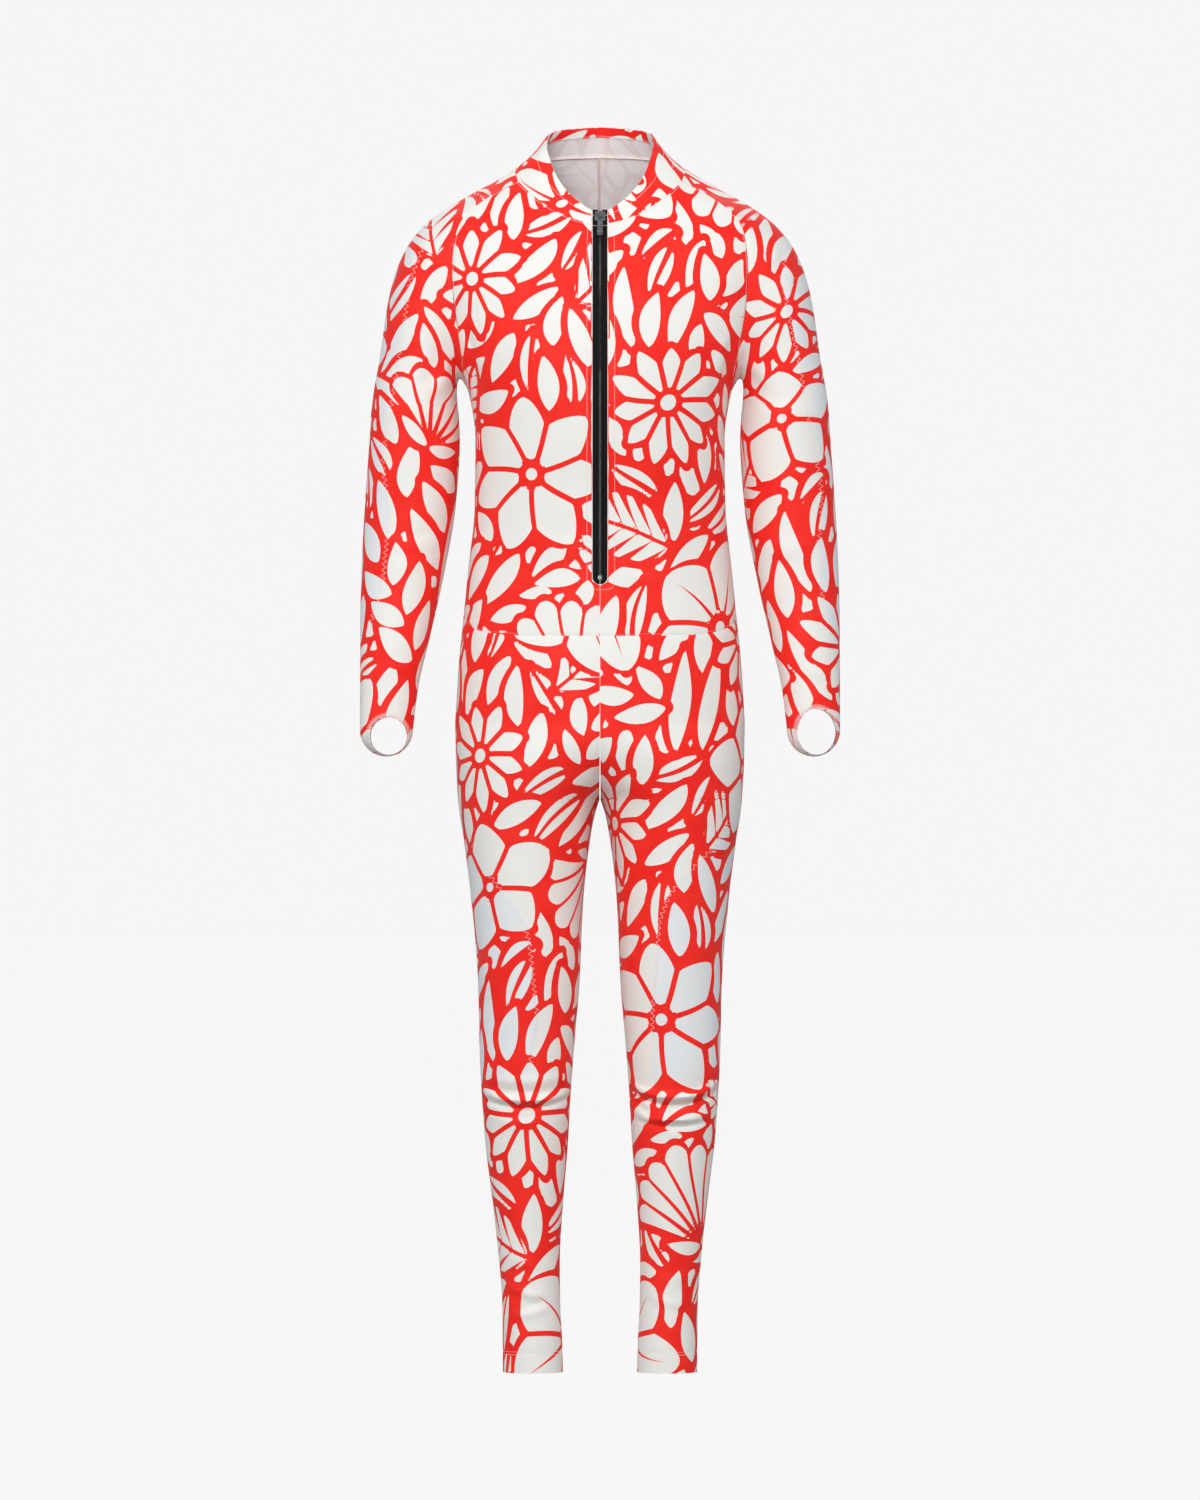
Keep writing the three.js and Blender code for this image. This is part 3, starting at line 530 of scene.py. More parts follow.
# The rest is filled with single leaves, each along the widest bare stretch that is left.
compass = np.linspace(0, np.pi, 12, endpoint=False)
for number in range(420):
    group += 1
    clear = np.minimum(trial_before[0], trial_before[1])
    at = int(np.argmax(clear))
    room = clear[at]
    if room < 8.2:
        break
    x, y = trial[at]
    best = None
    for a in compass:
        way = np.array((-np.sin(a), np.cos(a)))
        ends = []
        for sign in (1, -1):
            out = 0.0
            while out < 46:
                spot = (np.array((x, y)) + sign * (out + step) * way) % REPEAT
                row, column = int(spot[1] / step) % len(along), int(spot[0] / step) % len(across)
                if clear[row * len(across) + column] < CUT_GAP:
                    break
                out += step
            ends.append(out)
        if best is None or sum(ends) > best[0]:
            best = (sum(ends), a, ends)
    long, a, ends = best
    length = max(long, 1.6 * room)
    foot = (x + ends[1] * np.sin(a), y - ends[1] * np.cos(a))
    half = min(room - 1.4, 15)
    bend = 0.24 * np.sin(5.1 * number)
    if number % 5 == 2 and half > 9:
        ribbed_leaf(foot[0], foot[1], length, half, bend, a, group)
    else:
        add_cut(foot, a, length, group, leaf(length, half, bend, 0.85, 0.8))


PRINT_SIZE = 1.28


def print_layers(flat):
    """How far each point of flat cloth lies outside the nearest cut-out of each layer, in mm."""
    points = hand_cut(flat / PRINT_SIZE)
    field, before = bare(len(points))
    for cut in cuts:
        lay(cut, points, field, before)
    return field * PRINT_SIZE


class Wire:
    """A socket of a material's nodes, so that shader maths can be written as sums."""

    def __init__(self, tree, socket):
        self.tree = tree
        self.socket = socket

    def node(self, kind, settings=None, **inputs):
        made = self.tree.nodes.new(kind)
        for name, value in (settings or {}).items():
            setattr(made, name, value)
        for name, value in inputs.items():
            key = int(name[1:]) if name[0] == "i" and name[1:].isdigit() else name.replace("_", " ")
            if isinstance(value, Wire):
                self.tree.links.new(value.socket, made.inputs[key])
            else:
                made.inputs[key].default_value = value
        return made

    def out(self, made, name=0):
        return Wire(self.tree, made.outputs[name])

    def maths(self, operation, a, b=0.0):
        return self.out(self.node("ShaderNodeMath", {"operation": operation}, i0=a, i1=b))

    def __add__(self, other):
        return self.maths("ADD", self, other)

    def __mul__(self, other):
        return self.maths("MULTIPLY", self, other)

    __radd__ = __add__
    __rmul__ = __mul__

    def mixed(self, a, b):
        """The colour a where this is 0 and b where it is 1."""
        settings = {"data_type": "RGBA"}
        return self.out(self.node("ShaderNodeMix", settings, Factor=self, i6=a, i7=b), 2)

    def ramp(self, low, high):
        limits = {"From_Min": low, "From_Max": high}
        settings = {"interpolation_type": "SMOOTHSTEP"}
        return self.out(self.node("ShaderNodeMapRange", settings, Value=self, **limits))


def finish_of(name, **plain):
    """A new material with its plain values set, its shader, and a wire to begin its maths with."""
    made = bpy.data.materials.new(name)
    made.use_nodes = True
    shader = made.node_tree.nodes["Principled BSDF"]
    for socket, value in plain.items():
        shader.inputs[socket.replace("_", " ")].default_value = value
    return made, shader, Wire(made.node_tree, None)


def feed(wire, shader, **inputs):
    for name, value in inputs.items():
        wire.tree.links.new(value.socket, shader.inputs[name.replace("_", " ")])


def bumped(wire, shader, height, strength, distance):
    bump = wire.node("ShaderNodeBump", Strength=strength, Distance=distance, Height=height)
    feed(wire, shader, Normal=wire.out(bump))


def knit(wire, coarse, fine):
    """The height of a warp knit: fine upright wales, crossed by closer courses."""
    flat = wire.out(wire.node("ShaderNodeUVMap", {"uv_map": "flat"}))
    parts = wire.node("ShaderNodeSeparateXYZ", Vector=flat)
    wales = wire.maths("SINE", wire.out(parts, 0) * (2 * math.pi / coarse))
    courses = wire.maths("SINE", wire.out(parts, 1) * (2 * math.pi / fine))
    return wales + 0.6 * courses


def speckle(wire, scale, detail=2.0):
    place = wire.out(wire.node("ShaderNodeTexCoord"), "Object")
    noise = wire.node("ShaderNodeTexNoise", Vector=place, Scale=scale, Detail=detail)
    return wire.out(noise, "Fac")


def off_cuts(wire):
    """How far a point lies outside the nearest cut-out of the print, in mm."""
    layers = wire.out(wire.node("ShaderNodeAttribute", {"attribute_name": "print"}), "Vector")
    parts = wire.node("ShaderNodeSeparateXYZ", Vector=layers)
    nearest = wire.maths("MINIMUM", wire.out(parts, 0), wire.out(parts, 1))
    return wire.maths("MINIMUM", nearest, wire.out(parts, 2))


RED = (0.96, 0.030, 0.020, 1)
DEEP_RED = (0.88, 0.012, 0.011, 1)
OFF_WHITE = (0.86, 0.848, 0.81, 1)
COOL_WHITE = (0.80, 0.825, 0.85, 1)
INSIDE = (0.80, 0.745, 0.735, 1)

SHEEN = {"Sheen_Weight": 0.03, "Sheen_Roughness": 0.4, "Specular_IOR_Level": 0.13}
printed, shader, wire = finish_of("printed_stretch_cloth", **SHEEN)
ink = off_cuts(wire).ramp(-1.25, -0.75)
lined = wire.out(wire.node("ShaderNodeAttribute", {"attribute_name": "lined"}), "Fac")
lined = lined.ramp(-1.5, 1.5)
mottle = speckle(wire, 26.0, 4.0).ramp(0.35, 0.7)
white = lined.mixed(OFF_WHITE, COOL_WHITE)
white = (mottle * 0.25).mixed(white, (0.87, 0.85, 0.80, 1))
red = (mottle * 0.5).mixed(RED, DEEP_RED)
feed(wire, shader, Base_Color=ink.mixed(white, red))
feed(wire, shader, Roughness=0.44 + 0.08 * mottle + 0.06 * ink)
height = knit(wire, 0.0011, 0.0008) + 1.6 * speckle(wire, 900.0)
bumped(wire, shader, height, 0.16, 0.00012)

inner_face, shader, wire = finish_of("cloth_inner_face")
through = off_cuts(wire).ramp(-1.5, 1.5) * 0.22
feed(wire, shader, Base_Color=through.mixed(INSIDE, (0.62, 0.36, 0.34, 1)))
feed(wire, shader, Roughness=0.7 + 0.1 * speckle(wire, 300.0))
height = knit(wire, 0.0014, 0.001) + speckle(wire, 700.0)
bumped(wire, shader, height, 0.25, 0.0002)


def step_lengths(grid, axis):
    return np.linalg.norm(np.diff(grid, axis=axis), axis=2)


def normals_of(grid, closed=False):
    """The outward normal at each point of a grid of rows, read from its two directions."""
    if closed:
        across = np.roll(grid, -1, axis=1) - np.roll(grid, 1, axis=1)
    else:
        across = np.gradient(grid, axis=1)
    up = np.gradient(grid, axis=0)
    made = np.cross(across, up)
    size = np.linalg.norm(made, axis=2, keepdims=True)
    return made / np.maximum(size, 1e-9)


SEAM = {"depth": 0.8, "underarm": 0.7, "wide": 2.6}


def seam_dips(grid, edges):
    """Draws the cloth in along its sewn edges."""
    rows = measured(step_lengths(grid, 0))
    columns = measured(step_lengths(grid, 1), axis=1)
    far = {
        "bottom": rows,
        "top": rows[-1:] - rows,
        "first": columns,
        "last": columns[:, -1:] - columns,
    }
    dip = np.zeros(grid.shape[:2])
    for edge in edges:
        dip = np.maximum(dip, SEAM["depth"] * np.exp(-((far[edge] / SEAM["wide"]) ** 2)))
    return dip


def creased(grid, side, face, creases):
    """How far soft folds lift or sink each point: each runs from one place in the front view to
    another, bowed, with its own height, half width and side."""
    lift = np.zeros(grid.shape[:2])
    for crease in creases:
        if crease["face"] != face or crease["on"] not in (side, "both"):
            continue
        start = np.array((crease["x"], crease["z"]), float)
        end = np.array((crease["to_x"], crease["to_z"]), float)
        run = end - start
        long = np.linalg.norm(run)
        way = run / long
        away = grid[..., [0, 2]] - start
        t = (away @ way) / long
        off = away @ np.array((-way[1], way[0])) - crease["bow"] * 4 * t * (1 - t)
        ends = np.clip(np.minimum(t, 1 - t) * 3.2 + 0.12, 0, 1)
        ends = ends * ends * (3 - 2 * ends)
        across = off / crease["wide"]
        ridge = np.exp(-(across**2)) - 0.55 * np.exp(-((across + 1.7) ** 2))
        lift += crease["rise"] * ridge * ends
    return lift


PLAIN = -9.0  # the depth inside a film-backed zone, for cloth that has none
trees = {}  # the outer face of every cloth piece, for laying stitches on it


def cloth_piece(name, grid, flat, lined, closed=False, punch=None, thick=CLOTH, faces=None):
    """Makes a cloth piece from a grid of its outer face, in mm, and the grid's flat places."""
    rows, columns = grid.shape[:2]
    bpy.ops.object.select_all(action="DESELECT")
    bpy.ops.mesh.primitive_grid_add(x_subdivisions=columns - 1, y_subdivisions=rows - 1, size=1)
    piece = bpy.context.object
    piece.name = piece.data.name = name
    mesh = piece.data
    mesh.uv_layers[0].name = "flat"
    made = np.empty(len(mesh.vertices) * 3)
    mesh.vertices.foreach_get("co", made)
    made = made.reshape(-1, 3)
    i = np.rint((made[:, 0] + 0.5) * (columns - 1)).astype(int)
    j = np.rint((made[:, 1] + 0.5) * (rows - 1)).astype(int)
    place = grid[j, i] / 1000
    place[:, 2] -= SHOULDER_HEIGHT / 1000
    mesh.vertices.foreach_set("co", place.ravel())
    loops = np.empty(len(mesh.loops), int)
    mesh.loops.foreach_get("vertex_index", loops)
    mesh.uv_layers["flat"].data.foreach_set("uv", (flat[j, i] / 1000)[loops].ravel())
    zone = mesh.attributes.new("lined", "FLOAT", "POINT")
    zone.data.foreach_set("value", lined[j, i])
    for material in faces or (printed, inner_face):
        mesh.materials.append(material)
    mesh.update()
    polygons = [tuple(face.vertices) for face in mesh.polygons]
    trees[name] = BVHTree.FromPolygons([tuple(p) for p in place], polygons)
    if closed:
        bpy.ops.object.mode_set(mode="EDIT")
        bpy.ops.mesh.select_all(action="SELECT")
        bpy.ops.mesh.remove_doubles(threshold=0.00002)
        bpy.ops.object.mode_set(mode="OBJECT")
    wall = piece.modifiers.new("wall", "SOLIDIFY")
    wall.thickness = thick / 1000
    wall.offset = -1
    wall.material_offset = 1
    bpy.ops.object.modifier_apply(modifier="wall")
    if punch is not None:
        cutter = piece.modifiers.new("cutter", "BOOLEAN")
        cutter.operation = "DIFFERENCE"
        cutter.solver = "EXACT"
        cutter.object = punch
        bpy.ops.object.modifier_apply(modifier="cutter")
    mesh = piece.data
    # The print is worked out where each vertex of the outer face lies on the flat cloth.
    loops = np.empty(len(mesh.loops), int)
    mesh.loops.foreach_get("vertex_index", loops)
    spread = np.empty(len(loops) * 2)
    mesh.uv_layers["flat"].data.foreach_get("uv", spread)
    where = np.zeros((len(mesh.vertices), 2))
    where[loops] = spread.reshape(-1, 2) * 1000
    layers = print_layers(where)
    store = mesh.attributes.new("print", "FLOAT_VECTOR", "POINT")
    store.data.foreach_set("vector", layers.ravel())
    bpy.ops.object.select_all(action="DESELECT")
    piece.select_set(True)
    bpy.context.view_layer.objects.active = piece
    bpy.ops.object.shade_smooth_by_angle(angle=math.radians(50))
    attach(piece, "suit")
    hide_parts(name)
    return piece


def declared(grid, closed=False):
    """Works out the widest row and the longest column of the piece, in metres, and two sides of
    each cell; it returns and stores nothing.
    """
    ring = np.concatenate((grid, grid[:, :1]), axis=1) if closed else grid
    wide = step_lengths(ring, 1).sum(axis=1).max() / 1000
    long = step_lengths(ring, 0).sum(axis=0).max() / 1000
    a = ring[1:, :-1] - ring[:-1, :-1]
    b = ring[:-1, 1:] - ring[:-1, :-1]


def reflected(grid):
    """The same panel on the wearer's other side, its rows read the other way to face out."""
    return (grid * np.array((-1.0, 1.0, 1.0)))[:, ::-1]


def on_roll(grid, column, sign, roll):
    """Flat places of a panel that hangs nearly upright: true across, from an upright line in it."""
    steps = np.diff(grid, axis=1)
    length = (steps**2).sum(axis=2)
    run = np.sqrt(np.maximum(length - steps[..., 2] ** 2, 0.05 * length))
    across = measured(run, axis=1)
    across = across - across[:, column : column + 1] + sign * grid[:, column : column + 1, 0]
    return np.stack((across + roll[0], grid[..., 2] + roll[1]), axis=-1)


BODICE_CREASES = table(
    "face on x z to_x to_z bow wide rise",
    ("front", "right", -160, 1256, -151, 1168, 3, 5, -2.4),
    ("front", "right", -150, 1222, -128, 1172, 5, 9, 1.6),
    ("front", "left", 164, 1246, 150, 1176, -4, 6, -2.0),
    ("front", "left", 152, 1216, 120, 1164, -6, 10, 1.5),
    ("front", "both", 20, 962, 92, 950, -5, 12, 0.9),
    ("front", "right", -20, 984, -96, 1002, 6, 13, 0.9),
    ("back", "left", 158, 1240, 132, 1160, -6, 8, -2.2),
    ("back", "right", -156, 1246, -128, 1168, 7, 9, -2.0),
    ("back", "left", 128, 1206, 84, 1130, -8, 12, 1.6),
    ("back", "right", -120, 1214, -80, 1150, 8, 12, 1.4),
    ("back", "left", 14, 1010, 118, 1022, -7, 10, 2.0),
    ("back", "right", -14, 1000, -122, 1018, 8, 11, 1.8),
    ("back", "left", 12, 966, 96, 958, 6, 9, 1.5),
    ("back", "right", -12, 972, -84, 962, -5, 10, 1.7),
)
BODICE_ROLL = {
    ("front", "left"): (300, -620),
    ("front", "right"): (276, -560),
    ("back", "left"): (60, -250),
    ("back", "right"): (420, -380),
}
# The opening for the zip: an upright slot with a rounded lower end.
bpy.ops.mesh.primitive_cylinder_add(vertices=48, radius=ZIP["half"] / 1000, depth=0.12)
zip_slot = bpy.context.object
zip_slot.rotation_euler = (math.radians(90), 0, 0)
bpy.ops.object.transform_apply(location=True, rotation=True, scale=True)
bpy.ops.object.mode_set(mode="EDIT")
ends = bmesh.from_edit_mesh(zip_slot.data)
for vertex in ends.verts:
    if vertex.co.z > -1e-6:
        vertex.co.z = 0.5 if vertex.co.z > 1e-6 else 0
        vertex.co.x = math.copysign(ZIP["half"] / 1000, vertex.co.x)
bmesh.update_edit_mesh(zip_slot.data)
bpy.ops.mesh.select_all(action="SELECT")
bpy.ops.mesh.remove_doubles(threshold=1e-6)
bpy.ops.mesh.dissolve_limited()
bpy.ops.mesh.normals_make_consistent(inside=False)
bpy.ops.object.mode_set(mode="OBJECT")
zip_slot.location = (0, ZIP["depth"] / 1000, (ZIP["bottom"] + ZIP["half"] - SHOULDER_HEIGHT) / 1000)
bpy.ops.object.transform_apply(location=True, rotation=True, scale=True)
zip_slot.name = "zip_slot"

bodice = {}
places = np.linspace(0, BELOW_ARM + ABOVE_ARM, BODICE_ROWS)
for face in ("front", "back"):
    left = bodice_grid(face, places, BODICE_COLUMNS)
    for side in ("left", "right"):
        grid = left if side == "left" else reflected(left)
        if face == "back":
            grid = grid[:, ::-1]
        centre_first = (side == "left") == (face == "front")
        sign = 1 if face == "front" else -1
        roll = BODICE_ROLL[face, side]
        flat = on_roll(grid, 0 if centre_first else BODICE_COLUMNS - 1, sign, roll)
        lift = creased(grid, side, face, BODICE_CREASES)
        dips = seam_dips(grid, ("bottom", "top", "first", "last"))
        if face == "front":
            zipped = np.abs(grid[..., 0]) < 22
            dips[zipped & (grid[..., 2] > ZIP["bottom"])] = 0
        worn = grid + normals_of(grid) * (lift - dips)[..., None]
        bodice[face, side] = worn
        name = f"bodice_{face}_{side}"
        punch = zip_slot if face == "front" else None
        piece = cloth_piece(name, worn, flat, np.full(worn.shape[:2], PLAIN), punch=punch)
        declared(worn)


# ---------- legs ----------
# Each leg has a front and a back panel, sewn at the side seam and the inseam, and to the bodice at
# the waist seam. The cloth rolls up in soft folds below the knees and behind them, and wrinkles at
# the ankles, which end in a turned and stitched hem.
LEG_COLUMNS = 64
LEG_TOP = 900
LEG_LEVEL = 778
LEG = table(
    "height outer inner front back middle square",
    (778, 174, -174, -107, 127, 8, 2.25),
    (755, 173.5, -104, -106, 126, 9, 2.2),
    (730, 173, -53, -104, 122, 10, 2.15),
    (708, 172, -21, -100, 115, 11, 2.1),
    (694, 171, -5, -97, 110, 11, 2.1),
    (686, 170.5, 0.5, -95, 106, 11, 2.1),
    (637, 163, 12, -89, 92, 6, 2.1),
    (564, 154, 20, -83, 79, 2, 2.1),
    (466, 146, 24.5, -74, 66, -2, 2.1),
    (400, 144.5, 30, -67, 57, -4, 2.1),
    (362, 143.5, 33, -64, 53, -5, 2.1),
    (325, 141.5, 35.5, -58, 56, -2, 2.05),
    (277, 138, 38, -52, 62, 3, 2.0),
    (204, 129, 44, -45, 58, 4, 2.0),
    (130, 121, 48, -40, 46, 2, 2.0),
    (82, 117.5, 47.5, -39, 41, 1, 2.0),
    (32, 117, 45, -39, 39, 0, 2.0),
    (0, 116.5, 44.5, -39, 39, 0, 2.0),
)
# The rolled folds under the knees: height at the leg's sides, how far they stand out, half their
# spread, how short they are, and how far they sag in the middle.
KNEE_FOLDS = {
    "right": table(
        "height rise spread short sag",
        (344, 7.2, 4.4, 0, 17),
        (362, 2.2, 6.5, 1, 12),
        (326, -1.6, 6.0, 1, 15),
    ),
    "left": table(
        "height rise spread short sag",
        (357, 8.0, 4.8, 0, 26),
        (318, 5.6, 4.2, 2, 14),
        (336, -2.0, 5.5, 1, 20),
    ),
}
# Where the film-backed outer zone of each thigh and knee ends, from the hip down.
LEG_ZONE = {
    "right": table(
        "height side",
        (679, 163),
        (640, 156),
        (602, 135.6),
        (541, 91.2),
        (515, 84),
        (421, 74.4),
        (370, 84),
    ),
    "left": table(
        "height side",
        (668, 160),
        (644, 147.6),
        (625, 130.8),
        (595, 100.8),
        (574, 82.8),
        (541, 70.8),
        (490, 67.2),
        (454, 63.6),
        (404, 62.4),
    ),
}
leg_at = reader(LEG, "height")


def leg_grid(face, side, levels, columns):
    """Rows of the left leg's panel from the ankle up to the waist, each from inside outwards."""
    levels = np.asarray(levels, float)[:, None]
    share = np.linspace(0, 1, columns)[None, :]
    if face == "front":
        waist = WAIST["front"] + (WAIST["side"] - WAIST["front"]) * share ** WAIST["dip"]
    else:
        waist = WAIST["back"] + (WAIST["side"] - WAIST["back"]) * share**2
    follow = np.clip((levels - LEG_LEVEL) / (LEG_TOP - LEG_LEVEL), 0, 1)
    height = levels + (waist - LEG_TOP) * follow
    hang = np.sin(np.pi * share)
    s = leg_at(height)
    trunk = trunk_at(height)
    on_trunk = height > LEG_LEVEL
    s = {name: np.where(on_trunk, trunk.get(name, trunk["half"]), s[name]) for name in s}
    s["inner"] = np.where(on_trunk, -trunk["half"], s["inner"])
    centre = (s["outer"] + s["inner"]) / 2
    half = (s["outer"] - s["inner"]) / 2
    edge = np.where(s["inner"] < EDGE, (EDGE - centre) / half, -1)
    start = np.pi / 2 - np.sign(edge) * np.arcsin(np.minimum(1, np.abs(edge)) ** (s["square"] / 2))
    turn = blend_to(start, 0, share)
    away = np.cos(turn)
    x = centre + half * np.sign(away) * np.abs(away) ** (2 / s["square"])
    depth = np.maximum(0, np.sin(turn)) ** (2 / s["square"])
    reach = s[face] - s["middle"]
    if face == "front":
        for fold in KNEE_FOLDS[side]:
            off = (height + fold["sag"] * hang - fold["height"]) / fold["spread"]
            roll = np.exp(-off * off) - 0.8 * np.exp(-(((off + 1.9) / 0.75) ** 2))
            reach = reach - fold["rise"] * roll * hang ** fold["short"]
    return np.stack(np.broadcast_arrays(x, s["middle"] + reach * depth, height), axis=-1)


LEG_CREASES = table(
    "face on x z to_x to_z bow wide rise",
    ("front", "right", -112, 106, -60, 92, -4, 5, 2.2),
    ("front", "right", -58, 84, -106, 70, 5, 5, 1.9),
    ("front", "right", -114, 136, -70, 124, 4, 7, 0.9),
    ("front", "left", 54, 96, 108, 82, -4, 5, 1.1),
    ("front", "left", 112, 122, 66, 112, 4, 6, 0.8),
    ("front", "left", 38, 334, 70, 305, -4, 4, -2.0),
    ("front", "right", -42, 318, -74, 300, 3, 5, -0.9),
    ("front", "right", -6, 716, -64, 664, -8, 11, 1.5),
    ("front", "left", 8, 712, 72, 672, 9, 12, 1.4),
    ("front", "right", -20, 764, -110, 700, -10, 14, 1.1),
    ("front", "left", 22, 756, 116, 708, 9, 15, 1.0),
    ("back", "left", 34, 372, 132, 366, -8, 7, 3.0),
    ("back", "left", 44, 346, 138, 352, 7, 6, 2.4),
    ("back", "left", 38, 394, 104, 402, 6, 8, 1.8),
    ("back", "right", -132, 378, -38, 366, 7, 7, 2.8),
    ("back", "right", -136, 354, -52, 342, -8, 6, 2.6),
    ("back", "right", -118, 404, -46, 394, -6, 9, 1.6),
    ("back", "left", 18, 700, 120, 690, 10, 9, 2.4),
    ("back", "right", -16, 696, -112, 692, -11, 10, 2.2),
    ("back", "left", 54, 104, 106, 90, -5, 5, 1.5),
    ("back", "right", -110, 98, -56, 84, 5, 5, 1.4),
)
LEG_ROLL = {
    ("front", "left"): (120, 90),
    ("front", "right"): (470, 230),
    ("back", "left"): (330, 400),
    ("back", "right"): (40, 560),
}


FILM = {"rise": 0.35, "edge": 1.5, "fade": 0.07}
LEG_FILM = {"top": 672, "bottom": 352}
HEM = 25
HEM_ROWS = (22, 25.4)


def film_step(zone):
    return FILM["rise"] * np.clip(zone / FILM["edge"], 0, 1)


def zone_of(grid, border, top, bottom):
    """How far inside the outer zone each point is, in mm: below 0 is the plain cloth."""
    height = grid[..., 2]
    inside = np.abs(grid[..., 0]) - reader(border, "height")(height)["side"]
    return np.minimum(inside, np.minimum(top - height, FILM["fade"] * (height - bottom)))


def hem_ridge(grid, height, spread=1.6, rise=0.5):
    """The soft ridge and groove that a line of hem stitches leaves."""
    off = (grid[..., 2] - height) / spread
    return -rise * np.exp(-(off**2)) + 0.5 * rise * np.clip(1 - grid[..., 2] / height, 0, 1) ** 0.3


LEG_STEPS = table("start end step", (0, 296, 3.6), (296, 390, 2.0), (390, 900, 3.4))
levels = [np.arange(part["start"], part["end"], part["step"]) for part in LEG_STEPS]
levels = np.concatenate((*levels, (LEG_TOP,)))
legs = {}
for face in ("front", "back"):
    for side in ("left", "right"):
        grid = leg_grid(face, side, levels, LEG_COLUMNS)
        if side == "right":
            grid = reflected(grid)
        if face == "back":
            grid = grid[:, ::-1]
        sign = 1 if face == "front" else -1
        flat = on_roll(grid, LEG_COLUMNS // 2, sign, LEG_ROLL[face, side])
        lift = creased(grid, side, face, LEG_CREASES) + hem_ridge(grid, HEM)
        dips = seam_dips(grid, ("top", "first", "last"))
        zone = zone_of(grid, LEG_ZONE[side], **LEG_FILM)
        lift += film_step(zone)
        worn = grid + normals_of(grid) * (lift - dips)[..., None]
        legs[face, side] = worn
        piece = cloth_piece(f"leg_{face}_{side}", worn, flat, zone)
        declared(worn)


# ---------- sleeves ----------
# Each raglan sleeve is one shaped tube, sewn into the armhole and the collar and closed under the
# arm, with a rounded end that hooks over the hand through a hemmed hole. Film backs its outer side.
SLEEVE_PARTS = 9
ARMPIT = {"side": 158, "height": 1160, "radius": 12}
SHOULDER = table(
    "angle reach middle front back",
    (0, 116, 8, 59, 61),
    (23, 120.5, 9, 60, 62),
    (40, 137, 10, 61, 63),
    (52, 164, 11, 63, 65),
    (60, 190, 12, 65, 67),
    (67, 221, 13, 66, 69),
    (73, 236, 14, 67, 71),
    (78, 241.5, 15, 68, 72),
    (85, 248, 16, 69, 74),
    (91, 255, 17, 70, 75),
    (98, 271.5, 17, 70, 75),
    (105, 310, 18, 70, 75),
)
ARM = table(
    "height inner outer depth middle",
    (1160, 170, 274, 60, 8),
    (1118, 168, 276.5, 59, 9),
    (1039, 173, 282, 56, 8),
    (959, 186.5, 286, 50, 2),
    (880, 204, 287.5, 43, -8),
    (820, 217.5, 287.5, 36, -18),
    (770, 223.5, 287.5, 30, -27),
)
HAND_HOLE = {
    "right": {"half": 22, "rise": 22.5, "outward": -2.5},
    "left": {"half": 23, "rise": 27.5, "outward": 3.5},
}
LOOP_BAND = 2.2
ARM_END = ARM[-1]["height"]
RING_STEP = 3.4
SLEEVE_FILM = {"top": 1378, "bottom": 884}
shoulder_at = reader(SHOULDER, "angle")
arm_at = reader(ARM, "height")


def fan_point(angle, around):
    """A point of the shoulder, in the planes that fan about the armpit."""
    s = shoulder_at(angle)
    reach = ARMPIT["radius"] + (s["reach"] - ARMPIT["radius"]) / 2 * (1 + np.cos(around))
    depth = np.where(around > 0, s["front"], s["back"])
    x = ARMPIT["side"] + reach * np.cos(np.radians(angle))
    z = ARMPIT["height"] + reach * np.sin(np.radians(angle))
    return np.stack(np.broadcast_arrays(x, s["middle"] - depth * np.sin(around), z), axis=-1)


def place_on_fan(at, sign):
    out = at[:, 0] - ARMPIT["side"]
    up = at[:, 2] - ARMPIT["height"]
    angle = np.degrees(np.arctan2(up, out))
    half = (shoulder_at(angle)["reach"] - ARMPIT["radius"]) / 2
    share = (np.hypot(out, up) - ARMPIT["radius"]) / half - 1
    return angle, sign * np.arccos(np.clip(share, -1, 1))


# The armhole: up the front raglan seam, across the collar and down the back one, with each point's
# place round the shoulder. The strips mustn't cross where the seam runs along the shoulder's top.
whole = 2 * ABOVE_ARM + NECK_STRIPS
above = BELOW_ARM + np.arange(ABOVE_ARM * SLEEVE_PARTS + 1) / SLEEVE_PARTS
front_edge = bodice_grid("front", above, 2)[:, -1]
back_edge = bodice_grid("back", above, 2)[:, -1]
neck_share = (np.arange(1, NECK_STRIPS * SLEEVE_PARTS) / (NECK_STRIPS * SLEEVE_PARTS))[:, None]
neck_edge = blend_to(front_edge[-1], back_edge[-1], neck_share)
neck_edge = neck_edge + np.array((10.0, 0.0, 4.0)) * np.sin(np.pi * neck_share)
armhole = np.concatenate((front_edge, neck_edge, back_edge[:0:-1]))
front_angle, front_around = place_on_fan(front_edge, 1)
back_angle, back_around = place_on_fan(back_edge, -1)
front_around[-1] = min(front_around[-1], np.radians(24))
for k in range(len(front_around) - 2, -1, -1):
    front_around[k] = max(front_around[k], front_around[k + 1] + np.radians(6 / SLEEVE_PARTS))
neck_angle = place_on_fan(neck_edge, 1)[0]
neck_around = blend_to(front_around[-1], back_around[-1], neck_share[:, 0])
angle = np.concatenate((front_angle, neck_angle, back_angle[:0:-1]))
around = np.concatenate((front_around, neck_around, back_around[:0:-1]))
below = np.pi * (1 - 2 * np.arange(len(armhole)) / len(armhole))


def softened(line, times):
    """Evens out a line of numbers, keeping its ends."""
    for _ in range(times):
        line = np.concatenate((line[:1], (line[:-2] + 2 * line[1:-1] + line[2:]) / 4, line[-1:]))
    return line


angle = softened(angle, 30)
around = softened(around, 30)


